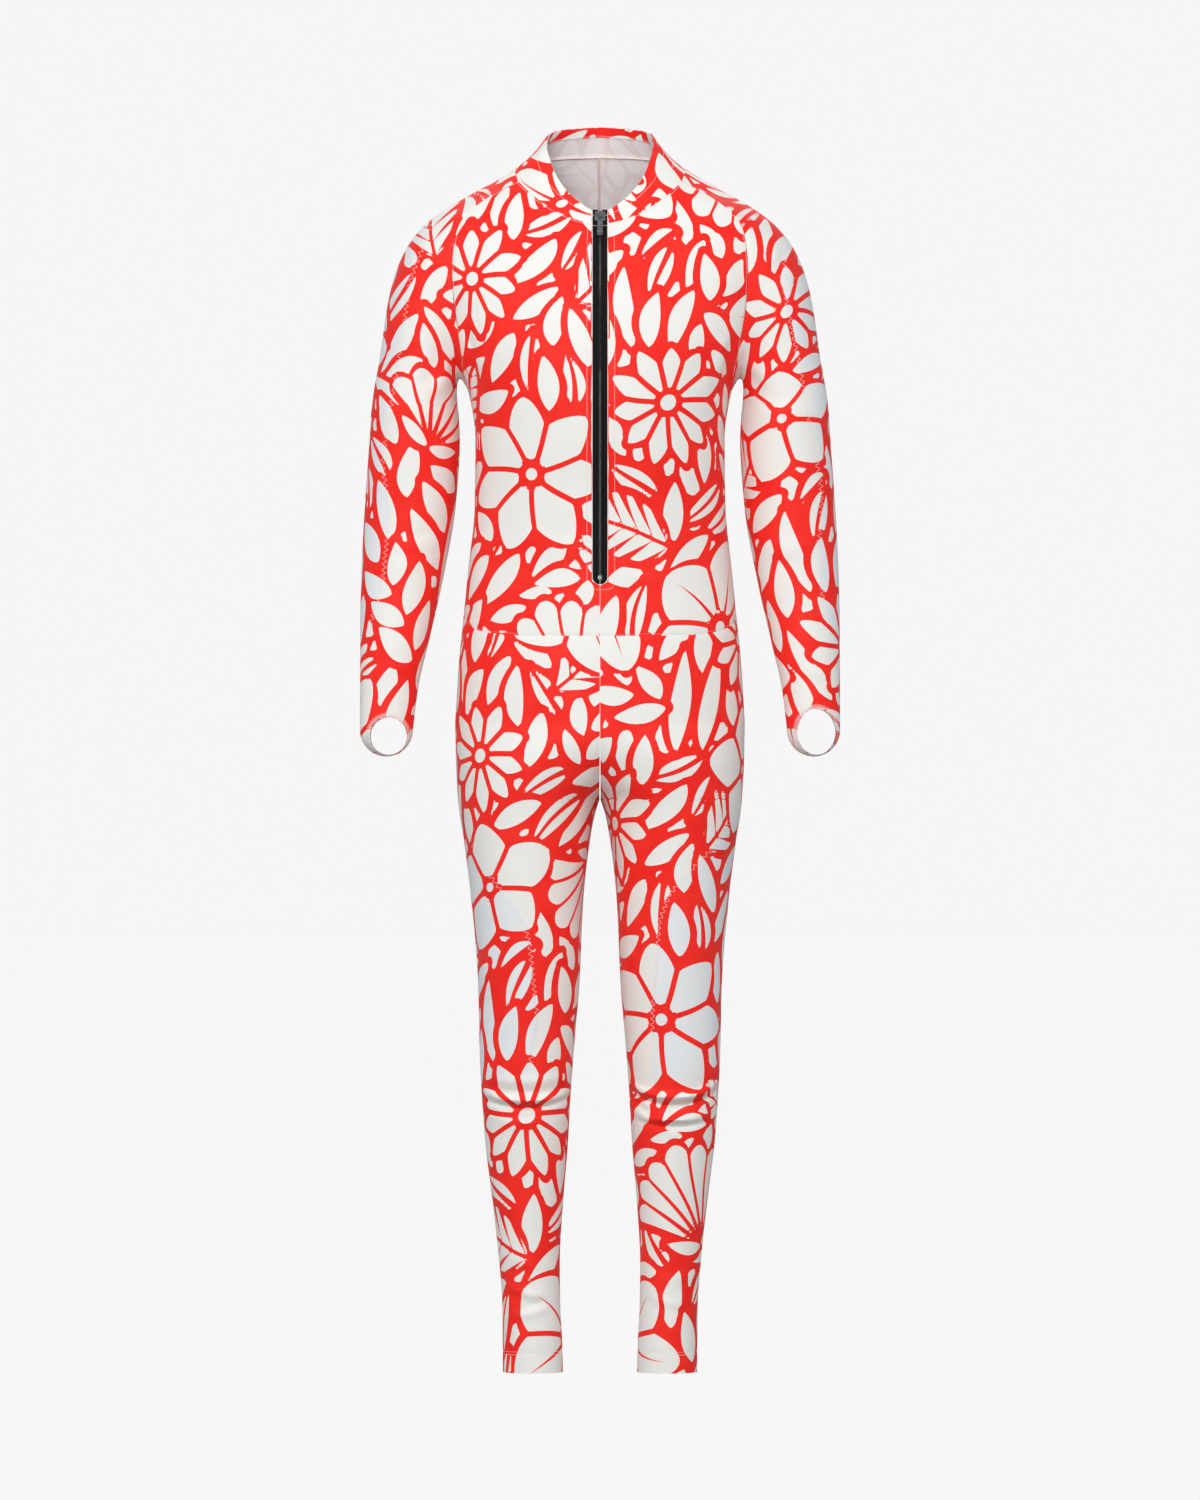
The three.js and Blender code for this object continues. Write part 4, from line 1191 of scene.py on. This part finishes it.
def sleeve_grid():
    """Rings of the left sleeve, from the rounded end up to the armhole."""
    rings = []
    for share in np.linspace(0, 1, 88):
        ease = share * share * (3 - 2 * share)
        point = fan_point(angle * (1 - share), blend_to(around, below, ease))
        rings.append(point + (armhole - fan_point(angle, around)) * (1 - ease))
    levels = np.arange(ARMPIT["height"] - RING_STEP, ARM_END, -RING_STEP)
    down = [(height, 0.0) for height in levels]
    down += [(ARM_END, dip) for dip in np.linspace(0, np.pi / 2, 15)]
    for height, dip in down:
        s = arm_at(height)
        centre = (s["inner"] + s["outer"]) / 2
        half = (s["outer"] - s["inner"]) / 2
        x = centre + half * np.cos(dip) * np.cos(below)
        y = s["middle"] - s["depth"] * np.cos(dip) * np.sin(below)
        rings.append(np.stack((x, y, np.full(len(below), height - half * np.sin(dip))), axis=-1))
    return np.array(rings[::-1])


def evened(grid, times):
    """Lets the cloth settle over the shoulder, between the armhole and the upper arm."""
    free = np.clip((grid[..., 2] - 1150) / 60, 0, 1)
    edge = np.clip(np.arange(len(grid))[::-1] / 14, 0, 1)[:, None]
    free = (free * edge)[..., None]
    for _ in range(times):
        ahead = np.concatenate((grid[1:], grid[-1:]))
        behind = np.concatenate((grid[:1], grid[:-1]))
        middle = (ahead + behind + np.roll(grid, 1, axis=1) + np.roll(grid, -1, axis=1)) / 4
        grid = grid + 0.8 * free * (middle - grid)
    return grid


def half_girth(turned, a, b):
    """The length round a section from the underarm, by how far round it is."""
    m = np.sqrt((a * a + b * b) / 2)
    return m * (turned - (a * a - b * b) / (8 * m * m) * np.sin(2 * turned))


def sleeve_flat(grid, roll):
    """Flat places of the sleeve. The front and the back unroll from the underarm seam and meet
    along the top of the arm, up to a dart on the shoulder."""
    x, y, z = grid[..., 0], grid[..., 1], grid[..., 2]
    on_arm = z < ARMPIT["height"]
    s = arm_at(np.maximum(z, ARM_END))
    out = x - ARMPIT["side"]
    up = z - ARMPIT["height"]
    fan = np.degrees(np.arctan2(np.maximum(up, 0), out))
    f = shoulder_at(fan)
    reach = np.hypot(out, np.maximum(up, 0))
    half = np.where(on_arm, (s["outer"] - s["inner"]) / 2, (f["reach"] - ARMPIT["radius"]) / 2)
    from_inner = np.where(on_arm, x - s["inner"], reach - ARMPIT["radius"])
    turned = np.arccos(np.clip(1 - from_inner / half, -1, 1))
    columns = grid.shape[1]
    is_front = (np.arange(columns) < columns / 2)[None, :]
    depth = np.where(on_arm, s["depth"], np.where(is_front, f["front"], f["back"]))
    run = half_girth(turned, half, depth)
    full = half_girth(np.pi, half, np.where(on_arm, s["depth"], f["front"]))
    level = arm_at(ARMPIT["height"])
    whole_girth = 2 * half_girth(np.pi, (level["outer"] - level["inner"]) / 2, level["depth"])
    ray = run + ARMPIT["radius"]
    fan = np.radians(fan)
    front_u = np.where(on_arm, run, ray * np.cos(fan) - ARMPIT["radius"])
    back_u = np.where(on_arm, 2 * full - run, whole_girth - (ray * np.cos(fan) - ARMPIT["radius"]))
    v = np.where(on_arm, z, ARMPIT["height"] + ray * np.sin(fan))
    return np.stack((np.where(is_front, front_u, back_u) + roll[0], v + roll[1]), axis=-1)


# Where the film-backed outer zone of each sleeve begins, from the shoulder down to the forearm.
SLEEVE_ZONE = {
    "right": table(
        "height side",
        (1387, 199),
        (1303, 228),
        (1256, 234),
        (1091, 260.4),
        (1027, 252),
        (943, 260.4),
        (880, 279.6),
    ),
    "left": table(
        "height side",
        (1384, 220.8),
        (1296, 220.8),
        (1248, 229.2),
        (1212, 237.6),
        (1058, 265.2),
        (1019, 265.2),
        (988, 260.4),
        (928, 266.4),
        (895, 274.8),
    ),
}
SLEEVE_CREASES = table(
    "face on x z to_x to_z bow wide rise",
    ("front", "left", 222, 1346, 204, 1312, 4, 7, -1.8),
    ("front", "left", 176, 1210, 206, 1176, 4, 8, 1.8),
    ("front", "right", -172, 1230, -192, 1168, -4, 8, 2.0),
    ("front", "right", -170, 1196, -214, 1160, -5, 9, 1.3),
    ("front", "left", 184, 1000, 250, 990, -6, 9, 1.2),
    ("front", "left", 188, 972, 240, 976, 5, 8, 1.0),
    ("front", "right", -184, 1004, -246, 986, 6, 9, 1.1),
    ("front", "right", -194, 968, -250, 960, -5, 8, 0.9),
    ("front", "left", 228, 840, 276, 832, 4, 6, 0.9),
    ("front", "right", -226, 846, -272, 834, -4, 6, 0.9),
    ("back", "left", 186, 1010, 262, 1002, 8, 9, 1.8),
    ("back", "right", -262, 1006, -188, 996, 7, 10, 1.6),
    ("back", "left", 178, 1214, 214, 1164, 6, 9, 1.8),
    ("back", "right", -176, 1222, -208, 1170, -6, 10, 1.7),
)
SLEEVE_ROLL = {"left": (250, -330), "right": (10, -90)}

basic = evened(sleeve_grid(), 260)
sleeves = {}
holes = {}
for side in ("left", "right"):
    hand = 1 if side == "left" else -1
    flat = sleeve_flat(basic, (0, 0))
    grid = basic * np.array((hand, 1.0, 1.0))
    flat = flat * np.array((hand, 1.0)) + np.array(SLEEVE_ROLL[side])
    faces = np.where(np.arange(grid.shape[1]) < grid.shape[1] / 2, "front", "back")
    lift = np.zeros(grid.shape[:2])
    for face in ("front", "back"):
        lift = np.where(faces == face, creased(grid, side, face, SLEEVE_CREASES), lift)
    zone = zone_of(grid, SLEEVE_ZONE[side], **SLEEVE_FILM)
    lift += film_step(zone)
    lift -= seam_dips(grid, ("top",))
    ring = measured(step_lengths(grid, 1), axis=1)
    from_seam = np.minimum(ring, ring[:, -1:] - ring)
    under_arm = SEAM["underarm"] * np.exp(-((from_seam / SEAM["wide"]) ** 2))
    lift -= under_arm * np.clip(ring[:, -1:] / 60, 0, 1)
    if side == "right":
        grid, flat, lift, zone = grid[:, ::-1], flat[:, ::-1], lift[:, ::-1], zone[:, ::-1]
    out = normals_of(grid, closed=True)
    out[0] = (0, 0, -1)
    worn = grid + out * lift[..., None]
    sleeves[side] = worn
    # The rings meet at the underarm seam, where the last column is the first one again.
    shut = np.concatenate((worn, worn[:, :1]), axis=1)
    run_on = 2 * flat[:, -1:] - flat[:, -2:-1]
    flat = np.concatenate((flat, run_on), axis=1)
    zone = np.concatenate((zone, zone[:, :1]), axis=1)
    hole = HAND_HOLE[side]
    end = worn[0, 0] / 1000
    bpy.ops.object.select_all(action="DESELECT")
    bpy.ops.mesh.primitive_cylinder_add(vertices=64, radius=0.001, depth=0.3)
    punch = bpy.context.object
    punch.name = "hand_hole"
    punch.rotation_euler = (math.radians(90), 0, 0)
    bpy.ops.object.transform_apply(rotation=True)
    punch.scale = (hole["half"], 1, hole["rise"])
    low_edge = end[2] + (LOOP_BAND + hole["rise"] - SHOULDER_HEIGHT) / 1000
    centre = (worn[0, 0, 0] + hand * hole["outward"], worn[0, 0, 2] + LOOP_BAND + hole["rise"])
    holes[side] = {"centre": centre, "half": hole["half"], "rise": hole["rise"]}
    punch.location = (end[0] + hand * hole["outward"] / 1000, end[1], low_edge)
    bpy.ops.object.transform_apply(location=True, rotation=True, scale=True)
    piece = cloth_piece(f"sleeve_{side}", shut, flat, zone, closed=True, punch=punch)
    declared(worn, closed=True)
    bpy.data.objects.remove(punch)


# ---------- collar ----------
# A stand-up band of the same cloth, in one piece from the zip round to the zip, sewn to the neck
# edge. Its top is turned in and stitched down, so that the print shows on the turned edge inside.
COLLAR = table(
    "station x y height hollow",
    (0, 0.2, -66, 1386, 0),
    (0.06, 11, -65, 1391, 0),
    (0.16, 28, -59, 1403, 0.3),
    (0.3, 44, -46, 1420, 1),
    (0.42, 57, -26, 1444, 2.5),
    (0.5, 65, 2, 1474, 4),
    (0.58, 63, 26, 1486, 4),
    (0.74, 45, 46, 1493, 2),
    (1, 0, 57, 1497, 1),
)
COLLAR_TURN = 0.7  # the share of its height where the turned-in edge ends
collar_at = reader(COLLAR, "station")


def evenly(line, count=0, step=1.0):
    """The same line through evenly spaced points: count of them, or else about a step apart."""
    line = np.asarray(line, float)
    length = measured(np.linalg.norm(np.diff(line, axis=0), axis=1))
    at = np.linspace(0, length[-1], count or max(2, int(length[-1] / step)) + 1)
    return np.stack([np.interp(at, length, line[:, k]) for k in range(line.shape[1])], axis=1)


def collar_rows(shares, columns):
    """Rows of the whole collar, each from the centre front round by the wearer's left."""
    front = bodice_grid("front", places[-1:], 60)[0]
    back = bodice_grid("back", places[-1:], 60)[0]
    seam = evenly(np.concatenate((front, neck_edge, back[::-1])), columns)
    top = collar_at(np.linspace(0, 1, columns))
    edge = np.stack((top["x"], top["y"], top["height"]), axis=1)
    rows = []
    for share in shares:
        row = blend_to(seam, edge, share)
        row[:, 2] -= top["hollow"] * np.sin(np.pi * share)
        row[-1, 0] = 0
        rows.append(np.concatenate((row, (row * np.array((-1.0, 1.0, 1.0)))[-2::-1])))
    return np.array(rows)


def round_the_neck(grid, at):
    """Flat places of the band: along it by its seam, and up it."""
    along = measured(step_lengths(grid[:1], 1)[0])
    up = measured(step_lengths(grid, 0))
    return np.stack((np.broadcast_to(along[None, :], up.shape) + at[0], up + at[1]), axis=-1)


COLLAR_CREASES = table(
    "face on x z to_x to_z bow wide rise",
    ("front", "left", 52, 1432, 84, 1428, 3, 4, 0.6),
    ("front", "right", -50, 1436, -82, 1430, -3, 5, 0.6),
)
collar_nominal = collar_rows(np.linspace(0.004, 1, 30), 124)
lift = creased(collar_nominal, "left", "front", COLLAR_CREASES)
lift = lift + creased(collar_nominal, "right", "front", COLLAR_CREASES)
shares = np.linspace(0, 1, 30)[:, None]
lift = lift - 0.3 * np.exp(-(((shares - COLLAR_TURN) / 0.05) ** 2))
out = normals_of(collar_nominal)
collar_worn = collar_nominal + out * (lift - seam_dips(collar_nominal, ("bottom",)))[..., None]
flat = round_the_neck(collar_worn, (30, 640))
piece = cloth_piece("collar", collar_worn, flat, np.full(flat.shape[:2], PLAIN), punch=zip_slot)
declared(collar_worn)
turned = collar_rows(np.linspace(COLLAR_TURN, 1, 10), 124)
inside_out = (turned - 2.7 * out[-10:])[:, ::-1]
flat = round_the_neck(inside_out, (210, 372))
none = np.full(inside_out.shape[:2], PLAIN)
piece = cloth_piece("collar_turned_edge", inside_out, flat, none, punch=zip_slot, thick=0.9)
declared(inside_out)

# ---------- zip ----------
# A black nylon coil zip: two woven tapes sewn under the cloth's edges, with the coils' turns down
# the middle, a square stop at the foot, and a gunmetal slider at the collar with its pull tab.
TAPE = {"half": 8.7, "parted": 2.4, "parts": 1382, "sunk": 0.22, "thick": 0.86}
COIL = {"pitch": 1.25, "half": 2.8, "reach": 0.5, "wire": 0.3, "bottom": 954.4, "top": 1381.6}
BLACK = (0.0022, 0.0022, 0.0026, 1)
GUNMETAL = (0.13, 0.135, 0.145, 1)


def zip_points(height, side):
    """Points on the nominal front of the suit at a height and a distance from the centre line."""
    height, side = np.broadcast_arrays(np.asarray(height, float), np.asarray(side, float))
    on_trunk = np.minimum(height, NECK["front"])
    at = trunk_point(on_trunk, turn_at_side(on_trunk, np.abs(side)), "front")
    share = np.clip((height - NECK["front"]) / (COLLAR[0]["height"] - NECK["front"]), 0, None)
    flat_front = trunk_point(NECK["front"], 0.0, "front")[1]
    y = np.where(height > NECK["front"], blend_to(flat_front, COLLAR[0]["y"], share), at[..., 1])
    return np.stack((side, y, height), axis=-1)


woven, shader, wire = finish_of("zip_tape", Specular_IOR_Level=0.18)
flat = wire.out(wire.node("ShaderNodeUVMap", {"uv_map": "flat"}))
parts = wire.node("ShaderNodeSeparateXYZ", Vector=flat)
ribs = wire.maths("SINE", wire.out(parts, 0) * (2 * math.pi / 0.0016))
slant = wire.maths("SINE", (wire.out(parts, 1) + 0.7 * wire.out(parts, 0)) * (2 * math.pi / 0.0009))
weave = ribs + 0.6 * slant
feed(wire, shader, Base_Color=weave.ramp(-1.2, 1.4).mixed(BLACK, (0.0075, 0.0075, 0.0085, 1)))
feed(wire, shader, Roughness=0.62 + 0.12 * speckle(wire, 900.0))
bumped(wire, shader, weave, 0.5, 0.0003)

nylon, shader, wire = finish_of("zip_coil")
grain = speckle(wire, 1400.0, 3.0)
feed(wire, shader, Base_Color=grain.mixed(BLACK, (0.011, 0.011, 0.012, 1)))
feed(wire, shader, Roughness=0.3 + 0.16 * grain)
bumped(wire, shader, grain, 0.2, 0.0001)

metal, shader, wire = finish_of("zip_metal", Metallic=0.9)
wear = speckle(wire, 420.0, 5.0).ramp(0.4, 0.72)
feed(wire, shader, Base_Color=wear.mixed(GUNMETAL, (0.34, 0.35, 0.37, 1)))
feed(wire, shader, Roughness=0.26 + 0.2 * speckle(wire, 1500.0))
bumped(wire, shader, speckle(wire, 2600.0), 0.12, 0.0001)
for name in ("zip_bottom_stop", "zip_slider", "zip_pull_tab"):
    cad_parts[name].data.materials.clear()
    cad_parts[name].data.materials.append(metal)

foot = ZIP["bottom"] + 0.45 + ZIP["half"] * np.linspace(0, 1, 14) ** 2
heights = np.concatenate((foot, np.linspace(954, ZIP["top"], 200)))
reach = np.minimum(heights - ZIP["bottom"] - ZIP["half"], 0)
edge = np.sqrt(np.maximum(TAPE["half"] ** 2 - reach**2, 1.2))
parting = TAPE["parted"] * np.clip((heights - TAPE["parts"]) / 2, 0, 1)
for side in ("left", "right"):
    sides = blend_to((0.2 + parting)[:, None], edge[:, None], np.linspace(0, 1, 12)[None, :])
    grid = zip_points(heights[:, None], sides)
    if side == "right":
        grid = reflected(grid)
    # The tapes lie a little behind the cloth's face.
    worn = grid - TAPE["sunk"] * normals_of(grid)
    flat = np.stack((grid[..., 0], grid[..., 2]), axis=-1)
    none = np.full(grid.shape[:2], PLAIN)
    name = f"zip_tape_{side}"
    piece = cloth_piece(name, worn, flat, none, thick=TAPE["thick"], faces=(woven, woven))
    declared(worn)


def strands(name, lines, wire_radius, material, sides=2):
    """Joined round strands along lines of points in mm, as one mesh."""
    bpy.ops.object.select_all(action="DESELECT")
    shape = bpy.data.curves.new(name, "CURVE")
    shape.dimensions = "3D"
    shape.bevel_depth = wire_radius / 1000
    shape.bevel_resolution = sides - 2
    shape.resolution_u = 1
    shape.use_fill_caps = True
    for line in lines:
        spline = shape.splines.new("POLY")
        spline.points.add(len(line) - 1)
        placed = np.asarray(line, float) / 1000
        placed = placed - np.array((0, 0, SHOULDER_HEIGHT / 1000))
        placed = np.concatenate((placed, np.ones((len(line), 1))), axis=1)
        spline.points.foreach_set("co", placed.ravel())
        spline.use_smooth = True
    piece = bpy.data.objects.new(name, shape)
    bpy.context.scene.collection.objects.link(piece)
    piece.select_set(True)
    bpy.context.view_layer.objects.active = piece
    bpy.ops.object.convert(target="MESH")
    piece = bpy.context.object
    piece.data.name = name
    piece.data.materials.clear()
    piece.data.materials.append(material)
    bpy.ops.object.mode_set(mode="EDIT")
    bpy.ops.mesh.select_all(action="SELECT")
    bpy.ops.mesh.normals_make_consistent(inside=False)
    bpy.ops.object.mode_set(mode="OBJECT")
    bpy.ops.object.shade_smooth_by_angle(angle=math.radians(60))
    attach(piece, "suit")
    return piece


# Each coil is one long flattened spiral. The two mesh along the centre line, half a turn apart.
turns = int((COIL["top"] - COIL["bottom"]) / COIL["pitch"])
steps = np.arange(turns * 10 + 1) / 10
coils = []
for sign in (-1, 1):
    turn = 2 * np.pi * steps + (np.pi if sign > 0 else 0)
    middle = sign * (COIL["half"] - COIL["reach"]) / 2
    half = (COIL["half"] + COIL["reach"]) / 2 - COIL["wire"]
    side = middle + half * np.cos(turn)
    base = zip_points(COIL["bottom"] + COIL["pitch"] * steps, side)
    base[:, 1] -= 0.9 + 0.42 * np.sin(turn)
    coils.append(base)
piece = strands("zip_coil_turns", coils, COIL["wire"], nylon)
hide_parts("zip_coil")
# Above the slider the coils go on along the parted edges of the tapes.
ears = []
for sign in (-1, 1):
    steps = np.arange(50) / 10
    turn = 2 * np.pi * steps
    base = zip_points(1385 + COIL["pitch"] * steps, sign * 3.6 + 0.9 * np.cos(turn))
    base[:, 1] -= 0.5 + 0.4 * np.sin(turn)
    ears.append(base)
piece = strands("zip_coil_ends", ears, COIL["wire"], nylon)

# ---------- stitching ----------
# Pale textured polyester thread: straight rows beside the zip, on the hems and along the waist,
# raglan and neck seams, a close fine zigzag over the centre seams, and open zigzags where the
# film-backed zones end.
thread, shader, wire = finish_of("sewing_thread")
strand = speckle(wire, 2200.0, 3.0)
pale = strand.ramp(0.3, 0.7).mixed((0.80, 0.70, 0.68, 1), (0.86, 0.80, 0.78, 1))
feed(wire, shader, Base_Color=pale)
feed(wire, shader, Roughness=0.6 + 0.2 * strand)
bumped(wire, shader, strand, 0.3, 0.0001)
THREAD = 0.26
FINE_THREAD = 0.15
WAYS = {"front": Vector((0, 1, 0)), "back": Vector((0, -1, 0))}


def on_cloth(x, z, face):
    """The place and the outward normal of the cloth seen at a point of the front or back view."""
    way = WAYS[face]
    start = Vector((x / 1000, 0, (z - SHOULDER_HEIGHT) / 1000)) - way
    best = None
    for name, tree in trees.items():
        if name.startswith("zip") or name == "collar_turned_edge":
            continue
        hit, normal, _, far = tree.ray_cast(start, way)
        if hit is not None and (best is None or far < best[0]):
            best = (far, hit, -normal if normal.dot(way) > 0 else normal)
    if best is None or best[0] > 1.3:
        return None
    return np.array(best[1]) * 1000 + (0, 0, SHOULDER_HEIGHT), np.array(best[2])


def stitch(a, b, middle):
    """One stitch over the cloth between two holes, each a place and a normal."""
    if a is None or b is None or middle is None or np.linalg.norm(a[0] - b[0]) > 14:
        return []
    out = middle[1]
    bridge = (a[0] + b[0]) / 2
    over = max(0.0, float((bridge - middle[0]) @ out))
    top = middle[0] + (over + 0.22) * out
    return [np.array((a[0] - 0.15 * a[1], top, b[0] - 0.15 * b[1]))]


def straight_row(line, face, step=3.0):
    """Straight stitches along a line of the front or back view."""
    made = []
    at = evenly(line, step=step)
    for a, b in zip(at, at[1:]):
        b = a + 0.8 * (b - a)
        m = (a + b) / 2
        made += stitch(on_cloth(*a, face), on_cloth(*b, face), on_cloth(*m, face))
    return made


def zigzag(line, face, wide=5.5, pitch=7.0):
    """Zigzag stitches along a line of the front or back view."""
    at = evenly(line, step=pitch / 2)
    run = np.gradient(at, axis=0)
    across = np.stack((-run[:, 1], run[:, 0]), axis=1) / np.linalg.norm(run, axis=1)[:, None]
    swing = np.where(np.arange(len(at)) % 2, 0.5, -0.5) * wide
    at = at + across * swing[:, None]
    made = []
    for a, b in zip(at, at[1:]):
        made += stitch(on_cloth(*a, face), on_cloth(*b, face), on_cloth(*((a + b) / 2), face))
    return made


def edge_row(grid, edge, inset, step=3.2):
    """Straight stitches a little way in from an edge of a panel."""
    around = normals_of(grid)
    pick = {"top": (-1, -2), "bottom": (0, 1), "first": (0, 1), "last": (-1, -2)}[edge]
    if edge in ("first", "last"):
        a, b, n = grid[:, pick[0]], grid[:, pick[1]], around[:, pick[1]]
    else:
        a, b, n = grid[pick[0]], grid[pick[1]], around[pick[1]]
    way = (b - a) / np.maximum(np.linalg.norm(b - a, axis=1), 1e-6)[:, None]
    at = evenly(np.concatenate((a + inset * way, n), axis=1), step=step)
    made = []
    for p, q in zip(at, at[1:]):
        q = p + 0.8 * (q - p)
        m = (p + q) / 2
        made += stitch((p[:3], p[3:]), (q[:3], q[3:]), (m[:3], m[3:]))
    return made


def sewn(name, rows, thick=THREAD):
    piece = strands(name, rows, thick, thread)
    return piece


bend = np.linspace(0, np.pi, 13)
u_turn = np.stack((1 - 16.5 * np.cos(bend), 945 - 8.5 * np.sin(bend) ** 0.6), axis=1)
line = np.concatenate((((-14.6, 1374), (-15.5, 1330)), u_turn, ((17.5, 1330), (16.4, 1374))))
sewn("zip_topstitch", straight_row(line, "front"))

rows = []
for side in ("left", "right"):
    for face in ("front", "back"):
        panel = legs[face, side]
        for height in HEM_ROWS:
            level = int(np.argmin(np.abs(panel[:, 0, 2] - height)))
            inset = max(0.0, height - panel[level, 0, 2])
            rows += edge_row(panel[level : level + 2], "bottom", inset)
sewn("ankle_hem_stitches", rows)

rows = edge_row(collar_worn[:21], "top", 0.4)
rows += edge_row(inside_out[:3], "bottom", 1.6)
for side in ("left", "right"):
    for face in ("front", "back"):
        rows += edge_row(bodice[face, side], "top", 2.4)
        panel = bodice[face, side][BODICE_ROWS // 2 + 6 :]
        outer = "last" if (side == "left") == (face == "front") else "first"
        rows += edge_row(panel, outer, 2.4)
sewn("neck_and_raglan_stitches", rows)

rows = []
for side in ("left", "right"):
    for face in ("front", "back"):
        rows += edge_row(bodice[face, side], "bottom", 2.0, 2.6)
rows += zigzag(((0, 934), (0, 884)), "front", 2.4, 3.6)
rows += zigzag(((0, 880), (0, 690)), "front", 3.6, 3.2)
rows += zigzag(((0, 1456), (0, 690)), "back", 3.6, 3.4)
sewn("waist_and_centre_stitches", rows, FINE_THREAD)

rows = []
for side in ("left", "right"):
    hand = 1 if side == "left" else -1
    for table in (LEG_ZONE[side], SLEEVE_ZONE[side]):
        line = [(hand * row["side"], row["height"]) for row in table]
        rows += zigzag(line, "front")
        rows += zigzag(line, "back")
rows += zigzag(((218, 1300), (233, 1312)), "front", 5, 6)
rows += zigzag(((216, 1314), (232, 1301)), "front", 5, 6)
rows += zigzag(((91, 1466), (87, 1444)), "front", 3.4, 4.4)
sewn("zone_zigzags", rows)

for side in ("left", "right"):
    hole = holes[side]
    turn = np.linspace(0, 2 * np.pi, 97)
    rows = []
    for face in ("front", "back"):
        for away, wide, pitch in ((3.4, 4.6, 2.6), (2.2, 2.2, 3.4)):
            room = np.where(np.sin(turn) < -0.2, -0.8 * away * (-np.sin(turn)), 0)
            ring_x = hole["centre"][0] + (hole["half"] + away) * np.cos(turn)
            ring_z = hole["centre"][1] + (hole["rise"] + away + room) * np.sin(turn)
            rows += zigzag(np.stack((ring_x, ring_z), axis=1), face, wide, pitch)
    sewn(f"hand_hole_stitches_{side}", rows)

# Inside the back, the seam allowances of the centre and neck seams lie folded as soft ridges.
allowance, shader, wire = finish_of("seam_allowance")
ply = speckle(wire, 900.0, 3.0)
pink = ply.ramp(0.3, 0.7).mixed((0.72, 0.50, 0.48, 1), (0.80, 0.68, 0.66, 1))
feed(wire, shader, Base_Color=pink)
feed(wire, shader, Roughness=0.7 + 0.2 * ply)
bumped(wire, shader, ply, 0.3, 0.0002)
inside = bodice["back", "left"]
centre = inside[BODICE_ROWS // 2 :, -1 if abs(inside[-1, -1, 0]) < 2 else 0] - (0, 2.2, 0)
centre[:, 0] = -0.6 + 0.5 * np.sin(np.arange(len(centre)) / 9)
ridges = [centre[:-1], centre[:-1] + (-2.0, -0.2, 0)]
base = collar_worn[0][40:-40] - 2.0 * normals_of(collar_worn)[0][40:-40]
ridges.append(base + (0, 0, -0.4))
piece = strands("seam_allowances", ridges, 0.8, allowance, sides=4)

# ---------- closing ----------
# The tool that cut the zip's opening goes.
bpy.data.objects.remove(zip_slot)
